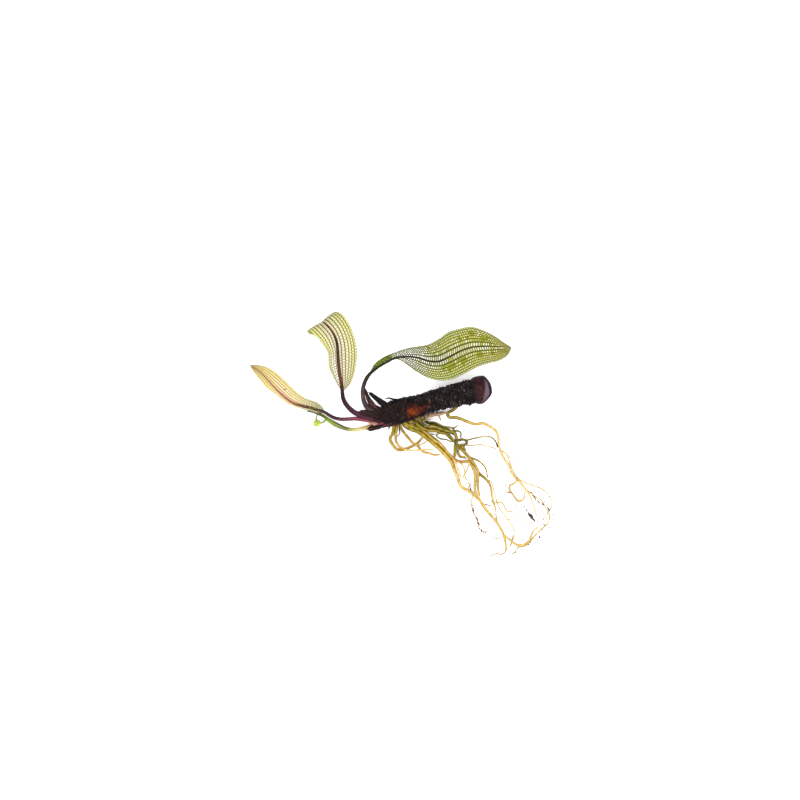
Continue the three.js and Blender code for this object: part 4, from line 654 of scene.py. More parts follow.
class Finish:
    """A material whose nodes are added one by one."""

    def __init__(self, name):
        self.material = bpy.data.materials.new(name)
        self.material.use_nodes = True
        self.tree = self.material.node_tree
        self.shader = self.tree.nodes["Principled BSDF"]
        self.output = self.tree.nodes["Material Output"]

    def node(self, kind, inputs=None, **settings):
        node = self.tree.nodes.new("ShaderNode" + kind)
        for key, value in settings.items():
            setattr(node, key, value)
        for key, value in (inputs or {}).items():
            self.put(node.inputs[key], value)
        return node

    def put(self, socket, value):
        if isinstance(value, bpy.types.NodeSocket):
            self.tree.links.new(value, socket)
        else:
            socket.default_value = value

    def math(self, operation, *values, clamp=False):
        node = self.node("Math", operation=operation, use_clamp=clamp)
        for socket, value in zip(node.inputs, values):
            self.put(socket, value)
        return node.outputs[0]

    def times(self, *values, clamp=False):
        return self.math("MULTIPLY", *values, clamp=clamp)

    def plus(self, *values):
        return self.math("ADD", *values)

    def swing(self, value, middle, amount):
        """How far a value is from its middle, times an amount."""
        return self.times(self.math("SUBTRACT", value, middle), amount)

    def patches(self, where, scale, detail, low, high, share):
        """Soft patches from 0 to share, where a noise rises from low to high."""
        return self.times(self.between(self.noise(where, scale, detail), low, high), share)

    def between(self, value, low, high):
        """0 up to low, 1 from high, smooth in between."""
        node = self.node("MapRange", {0: value, 1: low, 2: high}, interpolation_type="SMOOTHSTEP")
        return node.outputs[0]

    def mix(self, share, first, second, blend="MIX"):
        node = self.node("Mix", {0: share, 6: first, 7: second}, data_type="RGBA", blend_type=blend)
        return node.outputs[2]

    def ramp(self, value, stops):
        """Colours by a value: each stop is its place with red, green and blue, or with a colour."""
        node = self.node("ValToRGB", {0: value})
        elements = node.color_ramp.elements
        while len(elements) < len(stops):
            elements.new(0.5)
        for element, (place, *tone) in zip(elements, stops):
            element.position = place
            element.color = linear(*tone) if len(tone) == 3 else tone[0]
        return node.outputs[0]

    def value(self, name):
        return self.node("Attribute", attribute_name=name).outputs["Fac"]

    def place(self, scale=(1, 1, 1)):
        """Object coordinates in millimetres, stretched."""
        start = self.node("TexCoord").outputs["Object"]
        return self.node("Mapping", {"Vector": start, "Scale": tuple(s / MM for s in scale)}).outputs[0]

    def unrolled(self, scale):
        """Round and along the piece, stretched."""
        start = self.node("TexCoord").outputs["UV"]
        return self.node("Mapping", {"Vector": start, "Scale": scale}).outputs[0]

    def noise(self, where, scale, detail=4, roughness=0.55, distortion=0):
        node = self.node("TexNoise", {"Vector": where, "Scale": scale, "Detail": detail,
                                      "Roughness": roughness, "Distortion": distortion})
        return node.outputs[0]

    def cells(self, where, scale, feature="F1"):
        node = self.node("TexVoronoi", {"Vector": where, "Scale": scale}, feature=feature)
        return node.outputs["Distance"]

    def bump(self, height, distance, strength=1.0):
        node = self.node("Bump", {"Height": height, "Distance": distance * MM, "Strength": strength})
        self.put(self.shader.inputs["Normal"], node.outputs[0])
        return node.outputs[0]

    def surface(self, base, roughness, **others):
        self.put(self.shader.inputs["Base Color"], base)
        self.put(self.shader.inputs["Roughness"], roughness)
        for key, value in others.items():
            self.put(self.shader.inputs[key.replace("_", " ")], value)
        return self.material

    def let_light_through(self, share, tint, normal=None):
        """Some of the light that falls on the other side comes through, tinted."""
        through = self.node("BsdfTranslucent", {"Color": tint})
        if normal is not None:
            self.put(through.inputs["Normal"], normal)
        blend = self.node("MixShader", {0: share, 1: self.shader.outputs[0], 2: through.outputs[0]})
        self.put(self.output.inputs["Surface"], blend.outputs[0])


def bark_finish(colours):
    f = Finish("bark")
    where = f.place()
    wrapped = f.unrolled((62, 170, 1))
    flake = f.node("TexVoronoi", {"Vector": wrapped, "Scale": 1.0, "Randomness": 1.0})
    own = f.node("SeparateColor", {0: flake.outputs["Color"]}).outputs[0]
    seams = f.cells(wrapped, 1.0, "DISTANCE_TO_EDGE")
    fine = f.noise(where, 1.1, 6, 0.75)
    tone = f.plus(f.times(own, 0.34), f.times(fine, 0.75))
    # Raised bark is painted a little paler by its relief's height: partly its own tone, partly a painted
    # highlight on the ridges.
    tone = f.plus(tone, f.times(f.value("height"), 0.12))
    tone = f.plus(tone, f.swing(f.noise(where, 0.16, 3), 0.5, 0.6))
    # The paler stops are grey flakes of bark and also painted highlights, the small glints of the wet bark.
    plain = f.ramp(tone, [(0.38, 8, 6, 7), (0.52, tuple(colours.bark)), (0.64, 56, 46, 44),
                          (0.74, tuple(colours.bark_fleck_glint)), (0.86, 158, 144, 138)])
    greenish = f.mix(f.patches(where, 0.09, 3, 0.48, 0.6, 0.5), plain,
                     linear(52, 62, 52), "OVERLAY")
    brown = f.mix(f.patches(where, 0.14, 4, 0.5, 0.64, 0.55), greenish,
                  linear(92, 46, 36), "OVERLAY")
    seamed = f.mix(f.times(f.between(seams, 0.12, 0.02), 0.75), brown, linear(8, 6, 6))
    # Hollows in the relief are painted darker: partly the bark's own dark cracks, partly painted shade.
    hollow_dark_and_shade = f.mix(f.between(f.value("height"), 0.1, -1.0), seamed, linear(6, 5, 6))
    darkened = f.mix(f.value("dark_oval"), hollow_dark_and_shade, linear(14, 14, 20))
    fibres = f.noise(where, 0.75, 5, 0.75, 1.4)
    rust_tone = f.ramp(fibres, [(0.38, 30, 12, 8), (0.45, 104, 38, 10),
                                (0.53, tuple(colours.rust)), (0.6, 214, 112, 40),
                                (0.7, 240, 166, 110)])
    ragged = f.swing(f.noise(where, 0.5, 6, 0.85), 0.5, 4.6)
    rust_edge = f.plus(f.value("rust"), ragged)
    gaps = f.times(f.between(f.noise(where, 1.2, 5, 0.8), 0.5, 0.6), 0.6)
    rust_share = f.times(f.between(rust_edge, 0.36, 0.8), f.math("SUBTRACT", 0.95, gaps))
    reddish = f.mix(f.times(f.between(rust_edge, -0.1, 0.4), 0.65), darkened, linear(84, 32, 24))
    rusty = f.mix(rust_share, reddish, rust_tone)
    smooth_end = f.ramp(f.noise(where, 0.3, 6, 0.65), [
        (0.36, 24, 12, 14), (0.47, 44, 18, 20), (0.56, tuple(colours.cap)),
        (0.66, 104, 60, 50)])
    # The old end's cut face is painted paler towards one side, a painted highlight. Its dark rim is also
    # painted shade on the sides turned away.
    facet_highlight = f.mix(f.value("facet_highlight"), smooth_end, f.mix(f.noise(where, 0.5, 4), tuple(colours.cap_face_highlight),
                                                      linear(92, 72, 80)))
    rim = f.mix(f.value("end_rim_and_shade"), facet_highlight, linear(22, 12, 14))
    base = f.mix(f.between(f.value("smooth"), 0.35, 0.65), rusty, rim)
    grain = f.plus(fine, f.times(seams, 0.9))
    f.bump(f.times(grain, f.math("SUBTRACT", 1.1, f.value("smooth"))), 0.7, 1.0)
    wet = f.ramp(f.noise(where, 0.6, 3), [(0.35, grey(0.4)), (0.65, grey(0.8))])
    return f.surface(base, wet, Specular_IOR_Level=0.08)


def flake_finish(colours):
    f = Finish("bark_flakes")
    where = f.place()
    tone = f.plus(f.times(f.noise(where, 0.32, 2), 0.8), f.times(f.noise(where, 1.9, 5), 0.4))
    base = f.ramp(tone, [(0.44, 10, 8, 8), (0.56, tuple(colours.bark)), (0.66, 66, 54, 50),
                         (0.76, 120, 104, 98)])
    f.bump(f.noise(where, 2.2, 5), 0.3)
    return f.surface(base, 0.62, Specular_IOR_Level=0.08)


def sheath_finish(colours):
    f = Finish("dead_sheath")
    streaks = f.noise(f.unrolled((11, 1.3, 1)), 2.4, 6, 0.7, 0.3)
    where = f.place()
    tone = f.plus(streaks, f.swing(f.noise(where, 0.9, 4), 0.5, 0.35))
    # The streak colour at the top of this ramp partly stands in for long highlights on the ridges: painted
    # highlight.
    base = f.ramp(tone, [(0.36, 9, 7, 8), (0.47, 22, 16, 16), (0.55, tuple(colours.sheath)),
                         (0.64, 74, 40, 34), (0.76, tuple(colours.sheath_streak))])
    worn = f.mix(f.patches(where, 0.7, 5, 0.56, 0.68, 0.55), base, linear(104, 90, 82))
    red = f.mix(f.times(f.value("blush"), f.between(streaks, 0.5, 0.64)), worn, linear(142, 84, 74))
    black = f.mix(f.times(f.value("blush"), -0.75, clamp=True), red, linear(8, 7, 7))
    f.bump(streaks, 0.8, 0.9)
    return f.surface(black, 0.6, Specular_IOR_Level=0.08)


def shred_finish():
    f = Finish("pale_shreds")
    where = f.place()
    base = f.ramp(f.noise(where, 0.8, 4), [(0.35, 170, 84, 74), (0.5, 222, 160, 136),
                                           (0.66, 244, 220, 190)])
    f.bump(f.noise(where, 2.0, 5), 0.3)
    f.let_light_through(0.25, base)
    return f.surface(base, 0.5)


def stalk_finish(name, tones, streak_and_sheen):
    f = Finish(name)
    along = f.value("along")
    fibres = f.noise(f.unrolled((9, 1.1, 1)), 2.6, 5, 0.6, 0.2)
    base = f.ramp(along, tones)
    # Pale streaks along the fibres: the stalk's own streaks, and also a painted highlight where a lamp's
    # reflection runs along it.
    pale = f.mix(f.times(f.between(fibres, 0.55, 0.7), 0.8), base, streak_and_sheen)
    dark = f.mix(f.times(f.between(fibres, 0.47, 0.33), 0.8), pale, linear(16, 10, 14))
    f.bump(fibres, 0.35, 0.7)
    return f.surface(dark, 0.42, Specular_IOR_Level=0.12)


def shoot_finish():
    f = Finish("fresh_green")
    along = f.value("along")
    fibres = f.noise(f.unrolled((7, 1.1, 1)), 2.4, 5, 0.6, 0.3)
    base = f.ramp(along, [(0.1, 150, 110, 60), (0.2, 214, 178, 100), (0.3, 240, 222, 150),
                          (0.38, 214, 200, 110), (0.46, 96, 102, 30), (0.53, 48, 62, 10),
                          (0.62, 88, 118, 0), (0.68, 128, 166, 4), (0.76, 100, 128, 4),
                          (0.84, 80, 86, 30), (0.97, 92, 88, 40)])
    pale = f.mix(f.times(f.between(fibres, 0.52, 0.68), 0.6), base, linear(206, 214, 96))
    dark = f.mix(f.times(f.between(fibres, 0.48, 0.34), 0.75), pale, linear(34, 44, 10))
    f.bump(fibres, 0.3, 0.6)
    material = f.surface(dark, 0.36, Specular_IOR_Level=0.2)
    f.let_light_through(0.12, dark)
    return material


def bud_finish(colours):
    f = Finish("bud_green")
    where = f.place()
    # The palest tone, placed by noise, partly stands in for highlights on the glossy bud: painted highlight.
    tone = f.ramp(f.noise(where, 0.34, 4), [(0.36, 150, 168, 44), (0.5, tuple(colours.bud)),
                                            (0.66, 240, 240, 140)])
    stalky = f.mix(f.between(f.value("along"), 0.95, 0.6), tone, linear(150, 158, 76))
    f.bump(f.noise(where, 1.8, 4), 0.25, 0.6)
    material = f.surface(stalky, 0.35, Specular_IOR_Level=0.4)
    f.let_light_through(0.15, stalky)
    return material


def root_finish():
    f = Finish("root_skin")
    where = f.place()
    stretched = f.unrolled((3, 16, 1))
    wavering = f.swing(f.noise(where, 0.3, 6, 0.7), 0.57, 1.05)
    strand = f.noise(stretched, 1.3, 5, 0.65, 0.4)
    streaked = f.plus(wavering, f.swing(strand, 0.5, 0.5))
    tone = f.plus(f.value("tone"), streaked)
    # Two copies of the root's tones: a paler one for its top and a darker one for its sides and underside.
    # The difference is painted light and shade; thin roots take some of the darker copy too.
    top = f.ramp(tone, [(0.0, 290, 284, 250), (0.16, 288, 268, 196), (0.32, 276, 240, 130),
                        (0.48, 250, 212, 76), (0.64, 204, 186, 44), (0.82, 136, 130, 26),
                        (1.0, 46, 38, 14)])
    side = f.ramp(tone, [(0.0, 276, 250, 200), (0.16, 262, 226, 146), (0.32, 240, 190, 80),
                         (0.48, 186, 140, 30), (0.64, 112, 90, 8), (0.82, 54, 46, 6),
                         (1.0, 18, 12, 6)])
    top = f.mix(f.times(f.value("slender"), 0.4), top, side)
    turn = f.node("SeparateXYZ", {0: f.node("TexCoord").outputs["UV"]}).outputs[0]
    # Painted shade: by the turn round the root from its seam below, the sides and underside take the darker
    # copy and the top takes the paler one.
    turn_for_painted_shade = f.math("PINGPONG", turn, 0.5)
    lean = f.plus(turn_for_painted_shade, f.swing(strand, 0.5, 0.5))
    base = f.mix(f.between(lean, 0.45, 0.26), top, side)
    flecks = f.between(f.cells(where, 0.8), 0.22, 0.08)
    spotted = f.mix(f.times(flecks, f.value("specks")), base, linear(64, 44, 40))
    tanned = f.mix(f.patches(where, 0.19, 4, 0.54, 0.66, 0.4), spotted,
                   linear(226, 160, 84))
    rosy = f.mix(f.value("blush"), tanned, f.mix(strand, linear(206, 146, 124), linear(236, 196, 170)))
    orange = f.mix(f.value("orange"), rosy, linear(220, 116, 50))
    f.bump(strand, 0.3, 0.7)
    material = f.surface(orange, 0.36, Specular_IOR_Level=0.25)
    f.let_light_through(0.4, orange)
    return material


def dirt_finish(colours):
    f = Finish("dirt")
    where = f.place()
    base = f.ramp(f.noise(where, 1.2, 5), [(0.3, 34, 24, 20), (0.5, tuple(colours.dirt)),
                                           (0.7, 118, 88, 66)])
    f.bump(f.noise(where, 3, 5), 0.3)
    return f.surface(base, 0.8)


def blade_finish(name, tissue, margin, core, rows):
    """Tissue by its place along and across the blade, with long veins, bars between windows and filled
    cells."""
    f = Finish(name)
    where = f.place()
    along = f.value("along")
    across = f.plus(f.math("ABSOLUTE", f.value("side")),
                    f.swing(f.noise(where, 0.12, 3), 0.5, 0.3))
    toned = f.mix(f.between(across, rows["edge_from"], 0.95), f.ramp(along, tissue), f.ramp(along, margin))
    in_core = f.between(across, rows["core_to"] + 0.12, rows["core_to"] - 0.12)
    cored = f.mix(in_core, toned, f.ramp(along, core))
    mottled = f.mix(f.times(f.between(f.noise(where, 0.45, 5, 0.65), 0.46, 0.66), 0.5), cored,
                    rows["mottle"])
    past_fold = f.between(along, rows["fold_to"] - 0.02, rows["fold_to"] + 0.02)
    thin = f.times(f.between(f.value("rim"), 0.6, 0.0), f.times(past_fold, rows["thin"]))
    lit = f.mix(thin, mottled, rows["thin_tone"])
    filled = f.mix(f.value("fill"), lit, f.ramp(f.noise(where, 0.35, 4), rows["fill"]))
    bars = f.times(f.between(f.value("rim"), 0.5, 0.95), f.ramp(along, rows["bars"]))
    step = f.math("PINGPONG", f.times(along, rows["hatch"]), 0.5)
    hatched = f.times(f.between(step, 0.16, 0.04), rows["hatch_share"])
    barred = f.mix(f.math("MAXIMUM", bars, hatched), filled, rows["bar_tone"])
    seams = f.between(f.cells(f.place((1, 1.5, 1)), 0.42, "DISTANCE_TO_EDGE"), 0.16, 0.03)
    folded = f.times(seams, f.between(along, rows["fold_to"], rows["fold_to"] * 0.8))
    barred = f.mix(folded, barred, rows["fold_tone"])
    from_vein = f.math("PINGPONG", f.value("strip"), 0.5)
    vein = f.times(f.between(from_vein, rows["vein_half"], rows["vein_half"] * 0.4),
                  f.between(f.value("rim"), 0.3, 0.7))
    veined = f.mix(f.times(vein, rows["vein"]), barred, f.ramp(along, rows["vein_tones"]))
    rib = f.mix(f.patches(where, 0.7, 4, 0.5, 0.66, 0.7), f.ramp(along, rows["midrib"]),
                rows["rib_light"])
    ribbed = f.mix(f.value("rib"), veined, rib)
    normal = f.bump(f.noise(where, 1.4, 4), 0.2, 0.7)
    material = f.surface(ribbed, 0.42, Specular_IOR_Level=0.15)
    f.let_light_through(0.3, ribbed, normal)
    return material


def glowing_sheet_finish(colours):
    f = Finish("sheet")
    where = f.place((0.02, 0.02, 0.02))
    shade = f.mix(f.times(f.noise(where, 1.0, 2), 0.15), tuple(colours.floor), (0.95, 0.95, 0.955, 1))
    # The sheet also glows a little by itself: painted light that lifts the shadows on it and lights the roots
    # from below.
    return f.surface(shade, 0.9, Specular_IOR_Level=0.1, Emission_Color=(1, 0.98, 0.93, 1),
                     Emission_Strength=0.22)


# Rhizome.

def bark_relief(distance, angle, radius, sizes):
    """How far the bark stands out at each vertex, in millimetres: broken rings, lumps, flakes and grain."""
    rng = random.Random(SEED)
    rings = []
    place = 1.0
    while place < BARK_END:
        rings.append(place)
        place += rng.uniform(*RING_GAPS)
    rings = np.array(rings)
    heights = np.array([rng.uniform(0.4, 1.0) for _ in rings])
    relief = np.zeros(len(distance))
    for i, (s, a, r) in enumerate(zip(distance, angle, radius)):
        x, y = math.cos(a) * r, math.sin(a) * r
        bend = 1.8 * noise.noise(Vector((x * 0.09, y * 0.09, s * 0.05)))
        bend += 0.5 * noise.noise(Vector((x * 0.4, y * 0.4, s * 0.1)))
        k = max(int(np.searchsorted(rings, s + bend)) - 1, 0)
        gap = (rings[k + 1] if k + 1 < len(rings) else BARK_END) - rings[k]
        phase = (s + bend - rings[k]) / max(gap, 0.5)
        broken = 0.5 + 0.9 * noise.noise(Vector((x * 0.2 + 9, y * 0.2, rings[k])))
        right_part = min(max((s - 36) / 14, 0), 1)
        strong = 0.45 + 1.0 * right_part
        ledge = heights[k] * max(0.0, 1 - phase) ** 1.3 * (0.25 + 0.25 * right_part + max(broken, 0)) * strong
        lump = noise.noise(Vector((x * 0.13, y * 0.13, s * 0.13 + 4)))
        near = noise.voronoi(Vector((x * 0.62, y * 0.62, s * 0.8)))[0]
        crack = min((near[1] - near[0]) * 2.2, 1.0)
        grain = noise.fractal(Vector((x * 0.9, y * 0.9, s * 1.2)), 0.5, 2.1, 4)
        rings_out = (ledge - 0.3) * sizes.ledge / MM
        relief[i] = rings_out + 0.55 * lump + (crack - 0.6) * sizes.flake / MM + 0.3 * grain
    return relief


def seen_patch(spots, centre, reach, lean=0.0):
    """1 in the middle of an oval that is drawn as it is seen, 0 at its edge and below that beyond."""
    away = spots - np.array(centre)
    along = away[:, 0] * math.cos(lean) + away[:, 1] * math.sin(lean)
    across = away[:, 1] * math.cos(lean) - away[:, 0] * math.sin(lean)
    return 1 - np.hypot(along / reach[0], across / reach[1])


def most_of(spots, ovals):
    """The strongest of some ovals at each spot."""
    return np.max([strength * seen_patch(spots, *oval) for strength, *oval in ovals], axis=0)


def between(values, low, high):
    """0 up to low, 1 from high, smooth in between."""
    share = np.clip((values - low) / (high - low), 0, 1)
    return share * share * (3 - 2 * share)


class PLANT_OT_rhizome(bpy.types.Operator):
    """Makes the bark-covered rhizome with its smooth old end"""
    bl_idname = "plant.rhizome"
    bl_label = "Rhizome"

    def execute(self, context):
        sizes, colours = context.scene.plant_sizes, context.scene.plant_colours
        profile = BARK_RADII + CAP_RADII
        rings, sides = sizes.bark_rings, sizes.bark_sides
        piece, place = flat_sheet("rhizome_bark", sides, rings)
        ring, angle = rings_and_angles(place, sides, rings)
        distances = np.interp(np.linspace(0, 1, rings + 1), [0, 0.03, 0.97, 1], [0, 2.0, 92.4, RHIZOME_END])
        distance = distances[ring]
        padded = np.pad(at_distance(profile, distances), 2, mode="edge")
        radius = np.convolve(padded, np.ones(5) / 5, mode="valid")[ring]
        is_smooth = np.clip((distance - BARK_END + 0.8) / 1.6, 0, 1)
        relief = bark_relief(distance, angle, radius, sizes) * (1 - is_smooth)
        swell = np.array([noise.noise(Vector((math.cos(a) * 1.3, math.sin(a) * 1.3, s * 0.11))) for s, a in
                          zip(distance, angle)])
        relief = relief + is_smooth * 0.35 * swell
        aside = np.cos(angle - CUT_SIDE) * radius
        cut = RHIZOME_END - np.where(aside > -1, *CAP_CUT) * (aside + 1) ** 2
        squeezed = distance - is_smooth * 0.9 * np.maximum(distance - cut, 0)
        pole = (ring == 0) | (ring == rings)
        reach = np.where(pole, 0, np.maximum(radius + relief, 0.3))
        line = Course([np.array(point) - MIDDLE for point in RHIZOME_LINE])
        centres = line.along(distances / RHIZOME_END)
        ahead, right, up = directions(centres)
        points = centres[ring] + right[ring] * (np.cos(angle) * reach)[:, None]
        points += up[ring] * (np.sin(angle) * reach)[:, None] + ahead[ring] * (squeezed - distance)[:, None]
        points[:, 2] = np.maximum(points[:, 2], 0.0)
        set_points(piece, points)
        set_values(piece, "height", relief)
        set_values(piece, "smooth", is_smooth)
        spots, lit = as_seen(points), np.sin(angle - SEEN_SIDE) > 0
        set_values(piece, "rust", np.where(lit, np.clip(most_of(spots, RUST), -0.5, 1), -1))
        set_values(piece, "dark_oval", np.where(lit, between(most_of(spots, DARK_OVALS), 0, 0.35), 0))
        # Painted highlight and shade: the end's cut face is strongest on the side that faces the lamps and
        # the eye, and the rim is darker on the other sides.
        toward_highlight = np.maximum(np.cos(angle - FACET_HIGHLIGHT_SIDE), 0) ** 0.8
        ridge, outer = 87 + 0.24 * aside - 0.014 * aside ** 2, np.minimum(cut, 92.6)
        facet_highlight = between(squeezed, ridge - 0.4, ridge + 1.4)
        set_values(piece, "facet_highlight", facet_highlight * (1 - between(squeezed, outer - 3.0, outer - 1.2)) * toward_highlight)
        set_values(piece, "end_rim_and_shade", between(squeezed, outer - 2.4, outer - 1.0) + 0.7 * (1 - toward_highlight))
        close_up(piece)
        finish_piece(piece, bark_finish(colours), "bark", "rhizome")
        flakes = join_pieces("bark_flakes", self.fibres(line) + self.flakes(piece, line))
        finish_piece(flakes, flake_finish(colours), "bark")
        return {"FINISHED"}

    def flakes(self, bark, line):
        """Loose flakes of bark that lie round the rhizome and lift at one end."""
        rng = random.Random(SEED + 2)
        tree = skin_tree([bark])
        made = []
        for i in range(FLAKES):
            place, turn = rng.uniform(4, BARK_END - 0.5), rng.uniform(0, 2 * math.pi)
            if place < 52 and rng.random() < 0.35:
                continue
            length, slant = rng.uniform(1.2, 3.4), rng.gauss(0, 0.5)
            steps = np.linspace(0, 1, 5)
            places = place + steps * length * math.sin(slant)
            turns = turn + steps * length * math.cos(slant) / 9.0 * rng.choice((-1, 1))
            centres = line.along(np.clip(places, 0.5, BARK_END) / RHIZOME_END)
            _, right, up = directions(line.along(np.array([place - 0.5, place + 0.5]) / RHIZOME_END))
            outs = right[0] * np.cos(turns)[:, None] + up[0] * np.sin(turns)[:, None]
            if outs[0][2] > 0 and seen_patch(as_seen(centres + outs * 9), *BARE_OF_FLAKES).max() > 0:
                continue
            lift = rng.uniform(0.15, 0.5) + steps ** 2 * rng.uniform(0.0, 0.7)
            course = laid_on(tree, centres + outs * 14, -outs, lift - 0.15)
            if course is None or course[:, 2].min() < 0.3:
                continue
            widths = np.array([0.25, 0.42, 0.5, 0.4, 0.12]) * rng.uniform(0.7, 1.5)
            made.append(flat_tube(f"flake_{i}", course, widths, 0.4, 6))
        return made

    def fibres(self, line):
        """Short stiff fibres that stand up from the bark's ledges."""
        rng = random.Random(SEED + 1)
        made = []
        for i in range(BARK_FIBRES):
            distance = rng.uniform(3, BARK_END - 1)
            angle = rng.uniform(-0.5, math.pi + 0.5)
            here = line.along([distance / RHIZOME_END, min((distance + 0.5) / RHIZOME_END, 1)])
            along, right, up = (table[0] for table in directions(here))
            radius = at_distance(BARK_RADII, distance)
            out = right * math.cos(angle) + up * math.sin(angle)
            start = here[0] + out * (radius - 0.6)
            length = rng.uniform(0.6, 1.7)
            lean = along * rng.uniform(-0.9, 0.5) + out * 0.7 + right * rng.uniform(-0.3, 0.3)
            tip = start + out * 0.6 + lean * length
            bend = start + out * (0.5 + length * 0.3) + lean * length * 0.35
            scale = rng.uniform(0.6, 1.4)
            made.append(thread(f"fibre_{i}", [start, bend, tip], [0.32, 0.24, 0.06], scale, 5, 1, 5))
        return made


# Crown, stalks and shoot.

def limb(name, stations, sides, step=0.9, relief=None, values=None):
    course = Course([seen(station) for station in stations])
    shares = np.linspace(0, 1, max(8, int(course.length / step)))
    widths = spread([station[3] for station in stations], shares)
    thicknesses = spread([station[-1] for station in stations], shares)
    return rolled_tube(name, course.along(shares), np.stack([widths, thicknesses], 1), sides, relief, values)


def grooved(seed, depth, grooves):
    """Grooves that run along a stalk and fade in and out."""
    def relief(shares, angles):
        waves = np.cos(grooves * angles + 1.3 * seed + 2.0 * np.sin(3 * shares + seed))
        slow = np.array([noise.noise(Vector((math.cos(a), math.sin(a), s * 9 + seed))) for s, a in
                         zip(shares, angles)])
        return depth * waves * 0.5 + depth * slow
    return relief


class PLANT_OT_stalks(bpy.types.Operator):
    """Makes the three leaf stalks and the young shoot"""
    bl_idname = "plant.stalks"
    bl_label = "Stalks and shoot"

    def execute(self, context):
        # The last colour of each stalk is its pale streak, partly a painted highlight.
        purple = stalk_finish("purple_stalk", [
            (0.1, 96, 36, 40), (0.3, 72, 24, 40), (0.6, 58, 22, 38),
            (0.85, 46, 18, 30), (1, 72, 36, 28)], linear(104, 58, 76))
        rosy = stalk_finish("rosy_stalk", [
            (0.05, 170, 84, 80), (0.2, 176, 84, 92), (0.36, 146, 52, 70),
            (0.52, 96, 34, 54), (0.72, 62, 26, 42), (0.85, 60, 34, 36),
            (1, 66, 54, 26)], linear(196, 120, 124))
        brown = stalk_finish("dark_stalk", [
            (0.1, 70, 38, 36), (0.35, 56, 38, 38), (0.6, 40, 30, 32),
            (0.8, 42, 34, 24), (1, 40, 44, 12)], linear(120, 102, 100))
        for name, sides, finish, slot in (("large_leaf_stalk", 24, brown, "dark_stalk"),
                                          ("middle_leaf_stalk", 24, purple, "purple_stalk"),
                                          ("left_leaf_stalk", 22, rosy, "purple_stalk")):
            piece = limb(name + "_skin", STALKS[name], sides, 0.7, grooved(sides, 0.06, 5))
            finish_piece(piece, finish, slot, name)
        shoot = limb("young_shoot_skin", STALKS["young_shoot"], 22, 0.7, grooved(5, 0.09, 4))
        finish_piece(shoot, shoot_finish(), "fresh_green", "young_shoot")
        return {"FINISHED"}


